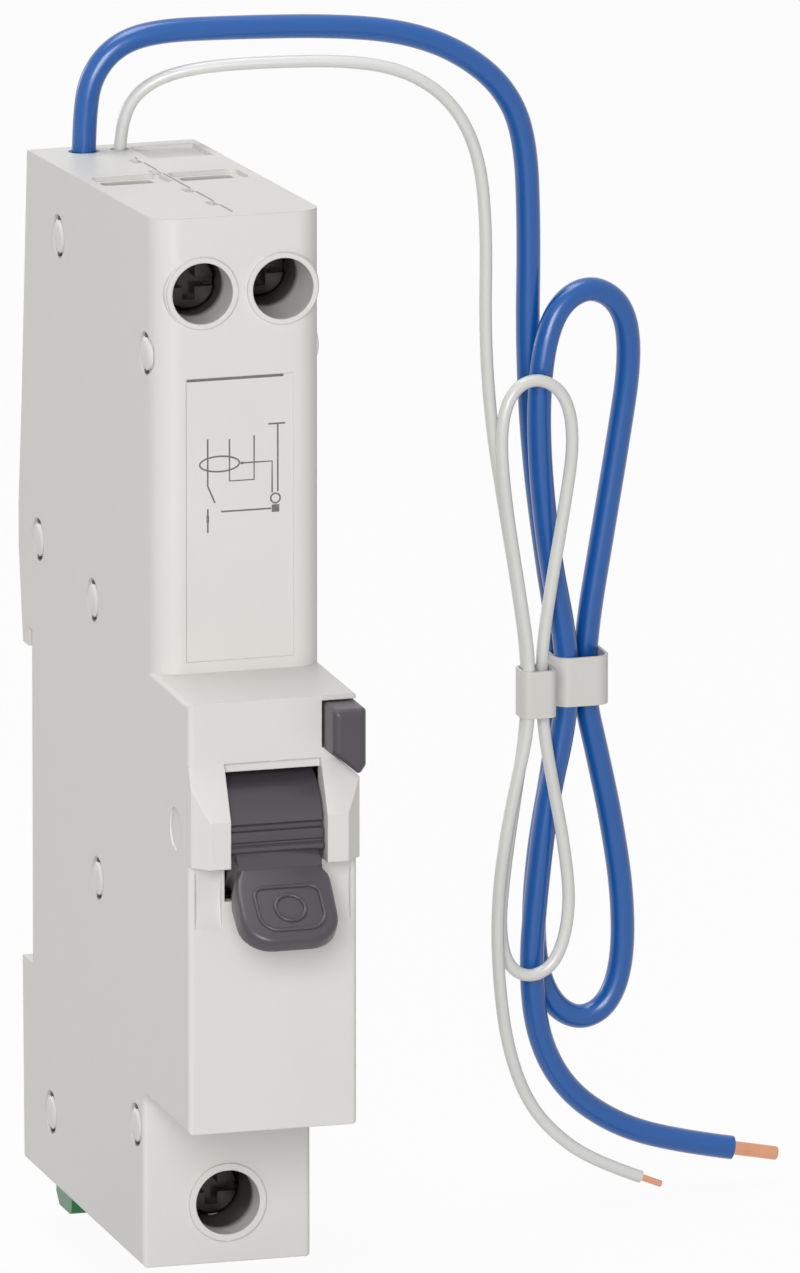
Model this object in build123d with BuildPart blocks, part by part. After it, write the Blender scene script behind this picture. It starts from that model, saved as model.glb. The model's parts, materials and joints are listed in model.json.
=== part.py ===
"""One-module residual current breaker with overcurrent trip, for a 35 mm rail.

Millimetres. X is the width, +Y points at the rail, +Z is up. The origin is the
middle of the face that rests on the rail. The operating toggle is modelled down (off).
"""
from math import cos, pi, radians, sin, tan
import os

from build123d import *

os.makedirs("parts", exist_ok=True)

# ---------------------------------------------------------------- driving sizes
module_width = 17.8
wall = 1.2
nose_front = -59.5
nose_top = 24.1
nose_bottom = -21.1
body_front = -47.2
body_top = 71.7
roof_drop = 3.4
roof_back = 1.4
block_front = -42.2
block_bottom = -39.5
back_bulge = 5.1
rail_width = 35.0
rail_thickness = 1.0
rail_gap = 0.3
lip_overlap = 1.7
lip_thickness = 2.2
seat_wall = 1.6
fit = 0.05
pin_fit = 0.02
running = 0.3
front_edge_radius = 2.8
outer_edge_radius = 0.5
cove_radius = 1.5

rivet_radius = 1.3
rivet_head_radius = 2.2
rivet_boss_radius = 2.5
rivet_recess = 0.4
rivet_proud = 0.25
rivet_edge = 0.15
rivet_below_screw = (1.95, 6.75)

terminal_spacing = 8.5
terminal_shift = 0.3
terminal_below_top = 7.85
terminal_bore = 3.2
terminal_rim = 3.75
neutral_depth = 5.0
load_depth = 8.7
cage_depth = 20.2
block_terminal_z = -33.1
block_terminal_bore = 3.4
block_terminal_rim = 4.1
block_depth = 6.0
rim_height = 0.4
well_wall = 0.7
screw_in_well = 1.5
screw_head_radius = 2.9
screw_head_height = 2.4
screw_shank_radius = 1.75
clamp_travel = 2.0
cage_width = 6.0
cage_height = 8.0
cage_length = 9.0
cage_wall = 0.85
thread_wall = 2.2
bar_thickness = 1.0
bar_width = 3.4
entry_width = 5.4
entry_depth = 4.5
entry_shift = -0.4
funnel_width = 7.4
funnel_depth = 5.7
funnel_sink = 0.5

toggle_y = -54.6
toggle_z = 9.9
drum_radius = 6.5
drum_width = 9.8
toggle_pin_radius = 1.2
lever_angle = 216.0
lever_reach = 16.8
lever_width = 10.2
lever_thickness = 2.8
neck_width = 8.8
pad_ring_reach = 12.9
pad_ring_radius = 1.75
crank_radius = 4.0
crank_angle = 18.0
link_wire = 0.55

carrier_y = -38.5
carrier_z = 3.5
carrier_pin_radius = 1.0
carrier_hub = 3.0
carrier_arm = 5.0
carrier_travel = 18.0
arm_length = 18.6
arm_open_angle = -80.0
arm_thickness = 1.4
tip_height = 1.0

arc_plate_count = 7
arc_plate_pitch = 1.6
arc_plate_thickness = 0.8
arc_plate_length = 17.0
arc_back = -14.0
arc_bottom = -27.5

coil_y = -15.0
coil_z = 7.5
coil_length = 12.0
coil_turns = 8
coil_flange = 3.5
plunger_radius = 1.3
plunger_travel = 1.5

trip_y = -31.0
trip_z = 12.0
trip_pin_radius = 0.8
release_z = 18.0

sensor_y = -30.0
sensor_z = 42.0
sensor_outer = 6.6
sensor_inner = 3.4
sensor_width = 5.0

board_y = -26.0
board_z = 42.0
board_length = 33.0
board_height = 22.0
board_thickness = 1.2

button_width = 3.5
button_top = 23.4
button_bottom = 16.4
button_corner = 18.8
button_nick = 0.7
button_proud = 4.0
button_depth = 3.5
button_travel = 1.8
button_stem_radius = 0.9

clip_width = 12.0
clip_channel_front = -8.6
clip_travel = 4.0
clip_tab_bottom = -43.9
clip_tab_front = -4.3
clip_chamfer = 1.2

blue_diameter = 2.5
blue_core_diameter = 1.45
blue_core_length = 5.0
white_diameter = 1.3
white_core_diameter = 0.7
white_core_length = 2.4
lead_gap = 0.35
tie_wall = 0.3

# ---------------------------------------------------------------- derived sizes
half_width = module_width / 2
inner_half = half_width - wall
lip_z = rail_width / 2 - lip_overlap
rail_slot_z = rail_width / 2 + rail_gap
rail_slot_depth = rail_thickness + rail_gap
lip_back = rail_slot_depth + lip_thickness
terminal_z = body_top - terminal_below_top
body_back_top = body_top - roof_drop
terminal_x = {-1: terminal_shift - terminal_spacing / 2, 1: terminal_shift + terminal_spacing / 2}
roof_fall = (body_back_top - body_top) / (roof_back - body_front)
roof_plane = Plane(origin=(0, body_front, body_top), x_dir=(1, 0, 0), z_dir=(0, -roof_fall, 1))
channel_half = clip_width / 2 + running
hook_half = clip_width / 3
channel_back = rail_slot_depth + 0.7

outline = [
    (nose_front, nose_bottom),
    (nose_front, nose_top),
    (body_front, nose_top),
    (body_front, body_top),
    (roof_back, body_back_top),
    (3.8, 41.2),
    (back_bulge, 30.1),
    (back_bulge, 25.5),
    (lip_back, lip_z),
    (rail_slot_depth, lip_z),
    (rail_slot_depth, rail_slot_z),
    (0, rail_slot_z),
    (0, -rail_slot_z),
    (lip_back + 0.5, -rail_slot_z),
    (lip_back, block_bottom),
    (block_front, block_bottom),
    (block_front, nose_bottom),
]
cavity = [
    (nose_front + wall, nose_bottom + wall),
    (nose_front + wall, nose_top - wall),
    (body_front + wall, nose_top - wall),
    (body_front + wall, body_top - wall + wall * roof_fall),
    (0, body_back_top - wall - roof_back * roof_fall),
    (2.4, 41.2),
    (2.4, rail_slot_z + 4 * wall),
    (-seat_wall, rail_slot_z),
    (-seat_wall, -rail_slot_z + 2 * wall),
    (clip_channel_front - wall, -rail_slot_z),
    (clip_channel_front - wall, block_bottom + wall),
    (block_front + wall, block_bottom + wall),
    (block_front + wall, nose_bottom + wall),
]
rivet_places = [
    (-10.6, terminal_z - rivet_below_screw[0]),
    (-2.5, 28.0),
    (-23.4, 26.5),
    (-25.0, -2.5),
    (body_front + 3.6, terminal_z - rivet_below_screw[1]),
    (-39.4, -25.0),
    (-6.9, -31.9),
]
pin_seats = {
    "toggle": (toggle_y, toggle_z, toggle_pin_radius),
    "carrier": (carrier_y, carrier_z, carrier_pin_radius),
    "trip": (trip_y, trip_z, trip_pin_radius),
}
pin_seat_wall = 0.9
pin_seat_height = 1.0
pin_seat_depth = 0.6
pin_half = inner_half + pin_seat_depth - fit

channel_top = -rail_slot_z - 1.4
clip_channel = [
    (clip_channel_front, block_bottom - 1),
    (clip_channel_front, channel_top),
    (channel_back, channel_top),
    (channel_back, block_bottom - 1),
]
clip_mouth = [
    (rail_slot_depth - running, block_bottom - 1),
    (rail_slot_depth - running, -rail_slot_z + 1),
    (back_bulge, -rail_slot_z + 1),
    (back_bulge, block_bottom - 1),
]
ledge_top = -30.0
ledge_bottom = -33.8
ledge_back = -4.2
spring_ledge = [
    (clip_channel_front, ledge_bottom),
    (clip_channel_front, ledge_top),
    (ledge_back, ledge_top),
    (ledge_back, ledge_bottom),
]

window_half = drum_width / 2 + 0.2
window_bottom = 3.2
window_top = 16.6
window_step = 1.0
window_cut = [
    (nose_front - 2, window_bottom),
    (nose_front - 2, window_top + window_step),
    (nose_front + wall / 2, window_top + window_step),
    (nose_front + wall / 2, window_top),
    (nose_front + 2 * wall, window_top),
    (nose_front + 2 * wall, window_bottom),
]
cheek_top = 17.5
cheek_shoulder = 12.1
cheek_bottom = 7.2
cheek_proud = 2.5
cheek_bevel = 1.6
cheek_profile = [
    (nose_front + wall / 2, cheek_top),
    (nose_front, cheek_top),
    (nose_front - cheek_proud, cheek_shoulder),
    (nose_front - cheek_proud, cheek_bottom),
    (nose_front + wall / 2, cheek_bottom),
]
scoop_radius = 7.0
scoop_centre = (nose_front - 6.3, 3.4)
scoop_end_wall = 0.7

pocket_gap = 0.15
pocket_wall = 0.5
pocket_roof = 0.3
button_right = half_width - fit
button_left = button_right - button_width
button_z = (button_top + button_corner) / 2
button_outline = [
    (button_left, button_top),
    (button_right, button_top),
    (button_right, button_bottom + 1.5 * button_nick),
    (button_right - button_nick, button_bottom),
    (button_left, button_corner),
]
button_fall = (button_corner - button_bottom) / (button_width - button_nick)
pocket_left = button_left - pocket_gap
pocket_floor = nose_front + 9.5
side_slot = button_depth + button_travel + running
stem_x = pocket_left + 1.6

# terminal stations along Y, counted back from the mouth of the screw well
upper_depth = {-1: neutral_depth, 1: load_depth}
upper_cage = body_front + cage_depth
lower_head = block_front + block_depth
lower_cage = lower_head + screw_head_height + clamp_travel + running
bar_in_cage = thread_wall + 3 * fit
wire_in_cage = (bar_in_cage + bar_thickness + cage_length - cage_wall) / 2
upper_entry_y = upper_cage + wire_in_cage
lower_entry_y = lower_cage + wire_in_cage

seam_notch_places = (-10.0, -17.6, -30.0, -38.9)
seam_notch_length = 2.4
seam_notch_width = 1.0
seam_notch_depth = 0.5
back_panel_left = 1.4
back_panel_right = 8.1
back_panel_front = -9.0
back_panel_back = -0.9
label_left = -5.6
label_right = 5.7
label_top = 54.9
label_sink = 0.15
pin_mark_depth = 0.2

lead_places = {
    "blue": (-3.7, -1.7, blue_diameter),
    "white": (0.1, -1.8, white_diameter),
}


def side_plane(x):
    """Plane across the width: local x is Y, local y is Z, normal is +X."""
    return Plane(origin=(x, 0, 0), x_dir=(0, 1, 0), z_dir=(1, 0, 0))


def front_plane(y):
    """Plane that faces the operator: local x is X, local y is Z, normal is -Y."""
    return Plane(origin=(0, y, 0), x_dir=(1, 0, 0), z_dir=(0, -1, 0))


def turned_plane(x, y, z, angle):
    """Side plane with its origin at a pivot and its local x turned by angle."""
    turn = radians(angle)
    return Plane(origin=(x, y, z), x_dir=(0, cos(turn), sin(turn)), z_dir=(1, 0, 0))


def pocket_edge(x, gap):
    """Height of the test button's sloping lower edge at x, less a gap."""
    return button_corner - (x - button_left) * button_fall - gap


def write(piece, label):
    """Name a finished piece and write its file."""
    piece.part.label = label
    export_step(piece.part, f"parts/{label}.step")


def coil_spring(plane, radius, wire, length, turns):
    """Round-wire compression spring that stands on a plane, ends flush with length."""
    with BuildPart() as spring:
        rise = length - 2 * wire
        foot = plane.offset(wire).origin
        with BuildLine() as coil:
            Helix(pitch=rise / turns, height=rise, radius=radius, center=foot, direction=plane.z_dir)
        with BuildSketch(Plane(origin=coil.line @ 0, z_dir=coil.line % 0)):
            Circle(wire)
        sweep(is_frenet=True)
    return spring


def housing_half(side):
    """Hollow half of the case on one side of the middle seam."""
    inner = side * inner_half
    end = -1 if side > 0 else 0
    with BuildPart() as half:
        with BuildSketch(side_plane(0)):
            with BuildLine():
                Polyline(*outline, close=True)
            make_face()
        extrude(amount=side * half_width)
        corner = half.edges().filter_by(Axis.X).sort_by_distance((0, block_front, nose_bottom))[0]
        fillet(corner, cove_radius)
        skin = half.faces().sort_by(Axis.X)[end]
        front_edges = skin.edges().filter_by(lambda e: abs(e.center().Y - body_front) < wall)
        fillet(front_edges.filter_by(Axis.Z), front_edge_radius)
        skin = half.faces().sort_by(Axis.X)[end]
        rims = skin.edges().filter_by(lambda e: e.center().Y < -1)
        plain = rims.filter_by(lambda e: abs(e.center().Y - body_front) > 2 * wall)
        fillet(plain.filter_by(lambda e: abs(e.center().Z) < body_back_top), outer_edge_radius)

        # finger scoop, and above it the cheek that stands proud beside the toggle
        with BuildSketch(side_plane(side * (window_half + 0.3))):
            with Locations(scoop_centre):
                Circle(scoop_radius)
        extrude(amount=side * (half_width - scoop_end_wall - window_half - 0.3), mode=Mode.SUBTRACT)
        with BuildPart(mode=Mode.PRIVATE) as cheek:
            with BuildSketch(side_plane(side * window_half)):
                with BuildLine():
                    Polyline(*cheek_profile, close=True)
                make_face()
            extrude(amount=side * (half_width - window_half))
            with BuildSketch(Plane.XY.offset(cheek_bottom)):
                with BuildLine():
                    Polyline(
                        (side * window_half, nose_front + wall),
                        (side * half_width, nose_front + wall),
                        (side * half_width, nose_front - cheek_proud + cheek_bevel),
                        (side * (half_width - cheek_bevel), nose_front - cheek_proud),
                        (side * window_half, nose_front - cheek_proud),
                        close=True,
                    )
                make_face()
            extrude(amount=cheek_top - cheek_bottom, mode=Mode.INTERSECT)
        add(cheek.part)

        # main room, kept open towards the seam
        with BuildSketch(side_plane(0)):
            with BuildLine():
                Polyline(*cavity, close=True)
            make_face()
        extrude(amount=inner, mode=Mode.SUBTRACT)

        # channel of the rail clip, with a narrower mouth at the back
        with BuildSketch(side_plane(0)):
            with BuildLine():
                Polyline(*clip_channel, close=True)
            make_face()
        extrude(amount=side * channel_half, mode=Mode.SUBTRACT)
        with BuildSketch(side_plane(0)):
            with BuildLine():
                Polyline(*clip_mouth, close=True)
            make_face()
        extrude(amount=side * (hook_half + running), mode=Mode.SUBTRACT)
        with BuildSketch(side_plane(0)):
            with BuildLine():
                Polyline(*spring_ledge, close=True)
            make_face()
        extrude(amount=side * channel_half)

        # rivet bosses and the seats of the three pivot pins
        with BuildSketch(side_plane(0)):
            with Locations(*rivet_places[:-1]):
                Circle(rivet_boss_radius)
        extrude(amount=inner)
        for pin_y, pin_z, radius in pin_seats.values():
            with BuildSketch(side_plane(inner)):
                with Locations((pin_y, pin_z)):
                    Circle(radius + pin_seat_wall)
            extrude(amount=-side * pin_seat_height)
            with BuildSketch(side_plane(inner - side * pin_seat_height)):
                with Locations((pin_y, pin_z)):
                    Circle(radius + pin_fit)
            extrude(amount=side * (pin_seat_height + pin_seat_depth), mode=Mode.SUBTRACT)
        with BuildSketch(side_plane(0)):
            with Locations(*rivet_places):
                Circle(rivet_radius + pin_fit)
        extrude(amount=side * half_width, mode=Mode.SUBTRACT)
        with BuildSketch(side_plane(side * half_width)):
            with Locations(*rivet_places):
                Circle(rivet_head_radius + fit)
        extrude(amount=-side * rivet_recess, mode=Mode.SUBTRACT)

        # round mark over the end of the toggle's pin, and half of the label's sunk panel
        with BuildSketch(side_plane(side * half_width)):
            with Locations((toggle_y, toggle_z)):
                Circle(rivet_head_radius)
        extrude(amount=-side * pin_mark_depth, mode=Mode.SUBTRACT)
        panel_edge = label_right if side > 0 else label_left
        with BuildSketch(front_plane(body_front)):
            with Locations((panel_edge / 2, (label_top + nose_top + wall) / 2)):
                Rectangle(abs(panel_edge), label_top - nose_top - wall)
        extrude(amount=-label_sink, mode=Mode.SUBTRACT)

        # screw well, raised rim, funnel and wire entry of the upper terminal on this side
        well_x = terminal_x[side]
        well_depth = upper_depth[side] + screw_in_well
        with BuildSketch(front_plane(body_front)):
            with Locations((well_x, terminal_z)):
                Circle(terminal_rim)
        extrude(amount=rim_height)
        with BuildSketch(front_plane(body_front)):
            with Locations((well_x, terminal_z)):
                Circle(terminal_bore + well_wall)
        extrude(amount=-well_depth)
        with BuildSketch(front_plane(body_front - rim_height)):
            with Locations((well_x, terminal_z)):
                Circle(terminal_bore)
        extrude(amount=-(well_depth + rim_height + fit), mode=Mode.SUBTRACT)
        with BuildSketch(roof_plane.offset(-2 * wall)):
            with Locations((well_x + entry_shift, upper_entry_y - body_front)):
                RectangleRounded(entry_width, entry_depth, 0.8)
        extrude(amount=4 * wall, mode=Mode.SUBTRACT)
        with BuildSketch(roof_plane):
            with Locations((side * (funnel_width + well_wall) / 2, upper_entry_y - body_front)):
                RectangleRounded(funnel_width, funnel_depth, 0.8)
        extrude(amount=-funnel_sink, mode=Mode.SUBTRACT)

        # half of the lower terminal: rim, well and wire entry
        with BuildSketch(front_plane(block_front)):
            with Locations((0, block_terminal_z)):
                Circle(block_terminal_rim)
            Rectangle(module_width, 8 * module_width, align=half_align(-side), mode=Mode.SUBTRACT)
        extrude(amount=rim_height)
        with BuildSketch(front_plane(block_front)):
            with Locations((0, block_terminal_z)):
                Circle(block_terminal_bore + well_wall)
            Rectangle(module_width, 8 * module_width, align=half_align(-side), mode=Mode.SUBTRACT)
        extrude(amount=-(block_depth + screw_in_well))
        with BuildSketch(front_plane(block_front - rim_height)):
            with Locations((0, block_terminal_z)):
                Circle(block_terminal_bore)
        extrude(amount=-(block_depth + screw_in_well + rim_height + fit), mode=Mode.SUBTRACT)
        with BuildSketch(Plane.XY.offset(block_bottom - wall)):
            with Locations((0, lower_entry_y)):
                RectangleRounded(entry_width + 1, entry_depth, 0.8)
        extrude(amount=3 * wall, mode=Mode.SUBTRACT)

        # toggle window, with a shallow step above it
        with BuildSketch(side_plane(0)):
            with BuildLine():
                Polyline(*window_cut, close=True)
            make_face()
        extrude(amount=side * window_half, mode=Mode.SUBTRACT)

        # lead holes through the roof
        for lead_x, lead_y, diameter in lead_places.values():
            with BuildSketch(Plane.XY.offset(body_back_top - 3 * wall)):
                with Locations((lead_x, lead_y)):
                    Circle(diameter / 2 + lead_gap)
            extrude(amount=5 * wall, mode=Mode.SUBTRACT)

        # roof details: notches along the seam on the left, a sunk panel on the right
        with BuildSketch(roof_plane):
            if side < 0:
                for notch_y in seam_notch_places:
                    with Locations((0, notch_y - body_front)):
                        Rectangle(seam_notch_width, seam_notch_length, align=half_align(side))
            else:
                panel_x = (back_panel_left + back_panel_right) / 2
                panel_y = (back_panel_front + back_panel_back) / 2
                with Locations((panel_x, panel_y - body_front)):
                    Rectangle(back_panel_right - back_panel_left, back_panel_back - back_panel_front)
        extrude(amount=-seam_notch_depth, mode=Mode.SUBTRACT)
    return half


def with_test_pocket(half):
    """Right half again, with the pocket and stem guide of the test button."""
    block_left = pocket_left - pocket_wall
    block_top = nose_top - pocket_roof
    block_gap = pocket_gap + 1.5 * pocket_wall
    with BuildPart() as case:
        add(half.part)
        with BuildSketch(front_plane(nose_front + wall)):
            with BuildLine():
                Polyline(
                    (block_left, block_top),
                    (inner_half, block_top),
                    (inner_half, pocket_edge(inner_half, block_gap)),
                    (block_left, pocket_edge(block_left, block_gap)),
                    close=True,
                )
            make_face()
        extrude(amount=-(pocket_floor - nose_front))
        with BuildSketch(front_plane(nose_front - 2 * cheek_proud)):
            with BuildLine():
                Polyline(
                    (pocket_left, button_top + pocket_gap),
                    (module_width, button_top + pocket_gap),
                    (module_width, pocket_edge(module_width, pocket_gap)),
                    (pocket_left, pocket_edge(pocket_left, pocket_gap)),
                    close=True,
                )
            make_face()
        extrude(amount=-(2 * cheek_proud + side_slot), mode=Mode.SUBTRACT)
        with BuildSketch(front_plane(nose_front)):
            with Locations((stem_x, button_z)):
                Rectangle(2 * (stem_x - pocket_left), button_top - button_corner + 2 * pocket_gap)
        extrude(amount=-(pocket_floor - nose_front), mode=Mode.SUBTRACT)
        with BuildSketch(front_plane(pocket_floor)):
            with Locations((stem_x, button_z)):
                Circle(button_stem_radius + fit)
        extrude(amount=-4 * wall, mode=Mode.SUBTRACT)
    return case


def half_align(side):
    """Alignment of a shape that covers only one side of the seam."""
    return (Align.MIN if side > 0 else Align.MAX, Align.CENTER)


# ---------------------------------------------------------------- case
housing_left = housing_half(-1)
housing_right = with_test_pocket(housing_half(1))

with BuildPart() as rivets:
    with BuildSketch(side_plane(-half_width + rivet_recess)):
        with Locations(*rivet_places):
            Circle(rivet_radius)
    extrude(amount=module_width - 2 * rivet_recess)
    for side in (-1, 1):
        with BuildSketch(side_plane(side * (half_width - rivet_recess))):
            with Locations(*rivet_places):
                Circle(rivet_head_radius)
        extrude(amount=side * (rivet_recess + rivet_proud))
    for outer in (0, -1):
        fillet(rivets.faces().filter_by(Axis.X).group_by(Axis.X)[outer].edges(), rivet_edge)

# ---------------------------------------------------------------- toggle and its mechanism
lever_back = lever_thickness / 2
neck_end = drum_radius + 1.5
pad_start = neck_end + 2.6
lever_corner = 3.2
lever_edge = 0.9
pad_groove = 0.3
with BuildPart() as lever:
    with BuildSketch(turned_plane(-lever_width / 2, toggle_y, toggle_z, lever_angle)):
        with BuildLine():
            Polyline(
                (3.0, -3.4),
                (neck_end, -lever_back - 0.9),
                (lever_reach, -lever_back),
                (lever_reach, lever_back),
                (neck_end, lever_back),
                (3.0, 2.8),
                close=True,
            )
        make_face()
    extrude(amount=lever_width)
    turn = radians(lever_angle)
    along = (0, cos(turn), sin(turn))
    across = (0, -sin(turn), cos(turn))
    pad_plane = Plane(origin=(0, toggle_y, toggle_z), x_dir=along, z_dir=across)
    with BuildSketch(pad_plane.offset(-2 * drum_radius)) as plan:
        with BuildLine():
            Polyline(
                (2.0, -neck_width / 2),
                (neck_end, -neck_width / 2),
                (pad_start, -lever_width / 2),
                (lever_reach, -lever_width / 2),
                (lever_reach, lever_width / 2),
                (pad_start, lever_width / 2),
                (neck_end, neck_width / 2),
                (2.0, neck_width / 2),
                close=True,
            )
        make_face()
        fillet(plan.vertices().group_by(Axis.X)[-1], lever_corner)
        fillet(plan.vertices().group_by(Axis.X)[1], lever_corner)
    extrude(amount=4 * drum_radius, mode=Mode.INTERSECT)
crank_y = toggle_y + crank_radius * cos(radians(crank_angle))
crank_z = toggle_z + crank_radius * sin(radians(crank_angle))
drum_lines = [
    (169.5, 0.4, Mode.SUBTRACT),
    (184.0, 0.2, Mode.SUBTRACT),
    (189.5, 0.35, Mode.ADD),
]
with BuildPart() as toggle:
    with BuildSketch(side_plane(-drum_width / 2)):
        with Locations((toggle_y, toggle_z)):
            Circle(drum_radius)
        for angle, line_radius, line_mode in drum_lines:
            line_y = toggle_y + drum_radius * cos(radians(angle))
            line_z = toggle_z + drum_radius * sin(radians(angle))
            with Locations((line_y, line_z)):
                Circle(line_radius, mode=line_mode)
    extrude(amount=drum_width)
    add(lever.part)
    with BuildSketch(pad_plane.offset(lever_back)):
        with Locations((pad_ring_reach, 0)):
            RectangleRounded(2.8 * pad_ring_radius, 3.8 * pad_ring_radius, pad_ring_radius / 2)
            Circle(pad_ring_radius, mode=Mode.SUBTRACT)
            Circle(pad_ring_radius - pad_groove, mode=Mode.ADD)
    extrude(amount=-pad_groove, mode=Mode.SUBTRACT)
    with BuildSketch(side_plane(-drum_width)):
        with Locations((toggle_y, toggle_z)):
            Circle(toggle_pin_radius + fit)
    extrude(amount=2 * drum_width, mode=Mode.SUBTRACT)
    with BuildSketch(side_plane(-drum_width / 2)):
        with Locations((crank_y, crank_z)):
            Circle(link_wire + fit)
    extrude(amount=2.2, mode=Mode.SUBTRACT)

with BuildPart() as toggle_pin:
    with BuildSketch(side_plane(-pin_half)):
        with Locations((toggle_y, toggle_z)):
            Circle(toggle_pin_radius)
    extrude(amount=2 * pin_half)

spring_wire = 0.3
with BuildPart() as toggle_spring:
    with BuildSketch(side_plane(drum_width / 2 + 0.2)):
        with Locations((toggle_y, toggle_z)):
            Circle(toggle_pin_radius + 3 * spring_wire)
            Circle(toggle_pin_radius + spring_wire, mode=Mode.SUBTRACT)
    extrude(amount=inner_half - pin_seat_height - drum_width / 2 - 2 * 0.2)
    with BuildSketch(side_plane(drum_width / 2 + 0.2)):
        with Locations((toggle_y, toggle_z - 4.5)):
            Rectangle(2 * spring_wire, 6)
        with Locations((toggle_y + 3.5, toggle_z + 1.8)):
            Rectangle(7, 2 * spring_wire)
        with Locations((toggle_y, toggle_z)):
            Circle(toggle_pin_radius + spring_wire, mode=Mode.SUBTRACT)
    extrude(amount=2 * spring_wire)

joint_y = carrier_y - carrier_arm
joint_z = carrier_z
link_x = -drum_width / 2 - 1.0
with BuildPart() as toggle_link:
    with BuildLine():
        bend = 0.9
        FilletPolyline(
            (-drum_width / 2 + 1.8, crank_y, crank_z),
            (link_x, crank_y, crank_z),
            (link_x, joint_y, joint_z),
            (-drum_width / 2 + 1.6, joint_y, joint_z),
            radius=bend,
        )
    with BuildSketch(Plane(origin=(-drum_width / 2 + 1.8, crank_y, crank_z), z_dir=(-1, 0, 0))):
        Circle(link_wire)
    sweep()

carrier_left = -drum_width / 2 - 0.1
carrier_right = carrier_left + 2.2
slot_run = 1.3
slot_angle = -33.0
slot_y = joint_y + slot_run / 2 * cos(radians(slot_angle))
slot_z = joint_z + slot_run / 2 * sin(radians(slot_angle))
with BuildPart() as contact_carrier:
    with BuildSketch(side_plane(carrier_left)):
        with Locations((carrier_y, carrier_z)):
            Circle(carrier_hub)
        with Locations((joint_y, joint_z)):
            Circle(2.0)
        with Locations(((carrier_y + joint_y) / 2, carrier_z)):
            Rectangle(carrier_arm, 5.0)
        with Locations((carrier_y, carrier_z - 3.5)):
            Rectangle(3.2, 5.0)
    extrude(amount=carrier_right - carrier_left)
    with BuildSketch(side_plane(carrier_left)):
        with Locations((carrier_y, carrier_z)):
            Circle(carrier_pin_radius + fit)
        with Locations((slot_y, slot_z)):
            SlotCenterToCenter(slot_run, 2 * (link_wire + running), rotation=slot_angle)
    extrude(amount=carrier_right - carrier_left, mode=Mode.SUBTRACT)

with BuildPart() as carrier_pin:
    with BuildSketch(side_plane(-pin_half)):
        with Locations((carrier_y, carrier_z)):
            Circle(carrier_pin_radius)
    extrude(amount=2 * pin_half)

with BuildPart() as moving_contact_arm:
    with BuildSketch(turned_plane(carrier_right, carrier_y, carrier_z, arm_open_angle)):
        Circle(carrier_hub)
        with BuildLine():
            Polyline(
                (0, -carrier_hub + 0.4),
                (arm_length * 0.6, -1.6),
                (arm_length, -1.2),
                (arm_length, 1.2),
                (0, carrier_hub - 0.4),
                close=True,
            )
        make_face()
        Circle(carrier_pin_radius + fit, mode=Mode.SUBTRACT)
    extrude(amount=arm_thickness)

tip_x = carrier_right + arm_thickness / 2
tip_base = 1.46
with BuildPart() as moving_contact_tip:
    with BuildSketch(turned_plane(tip_x - 1.4, carrier_y, carrier_z, arm_open_angle)):
        with Locations((arm_length - 1.8, tip_base + tip_height / 2)):
            Rectangle(3.0, tip_height)
    extrude(amount=2.8)

made_angle = arm_open_angle + carrier_travel
bracket_half = 2.6
bracket_left = -inner_half + 0.1
bracket_face = tip_base + 2 * tip_height + fit
with BuildPart() as fixed_contact_tip:
    with BuildSketch(turned_plane(tip_x - 1.4, carrier_y, carrier_z, made_angle)):
        with Locations((arm_length - 1.8, bracket_face - tip_height / 2)):
            Rectangle(3.4, tip_height)
    extrude(amount=2.8)

with BuildPart() as fixed_contact:
    with BuildSketch(turned_plane(bracket_left, carrier_y, carrier_z, made_angle)):
        with BuildLine():
            Polyline(
                (arm_length - 7.5, bracket_face),
                (arm_length + 1.8, bracket_face),
                (arm_length + 2.6, bracket_face + 3.4),
                (arm_length + 1.4, bracket_face + 3.4),
                (arm_length + 0.8, bracket_face + 1.2),
                (arm_length - 7.5, bracket_face + 1.2),
                close=True,
            )
        make_face()
    extrude(amount=tip_x + 1.9 - bracket_left)

spring_leg = arm_length / 2
with BuildPart() as contact_spring:
    with BuildSketch(side_plane(carrier_right + arm_thickness + 0.15)):
        with Locations((carrier_y, carrier_z)):
            Circle(carrier_pin_radius + 1.0)
            Circle(carrier_pin_radius + 0.4, mode=Mode.SUBTRACT)
        with Locations((carrier_y - spring_leg / 2, carrier_z + 1.1)):
            Rectangle(spring_leg, 0.6)
        with Locations((carrier_y, carrier_z)):
            Circle(carrier_pin_radius + 0.4, mode=Mode.SUBTRACT)
    extrude(amount=0.6)

# ---------------------------------------------------------------- arc chamber
arc_left = -inner_half + 0.1
arc_right = -0.2
frame_board = 0.8
arc_height = arc_plate_pitch * arc_plate_count
with BuildPart() as arc_plates:
    for layer in range(arc_plate_count):
        level = arc_bottom + arc_plate_pitch * (layer + 0.3)
        with BuildSketch(Plane.XY.offset(level)):
            with BuildLine():
                Polyline(
                    (arc_left + frame_board, arc_back),
                    (arc_right - frame_board, arc_back),
                    (arc_right - frame_board, arc_back - arc_plate_length),
                    ((arc_left + arc_right) / 2 + 0.5, arc_back - arc_plate_length + 5),
                    ((arc_left + arc_right) / 2 - 0.5, arc_back - arc_plate_length + 5),
                    (arc_left + frame_board, arc_back - arc_plate_length),
                    close=True,
                )
            make_face()
        extrude(amount=arc_plate_thickness)

with BuildPart() as arc_chamber_boards:
    for board_x in (arc_left, arc_right - frame_board):
        with BuildSketch(side_plane(board_x)):
            with Locations((arc_back - arc_plate_length / 2, arc_bottom + arc_height / 2)):
                Rectangle(arc_plate_length + 1, arc_height)
        extrude(amount=frame_board)

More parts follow.
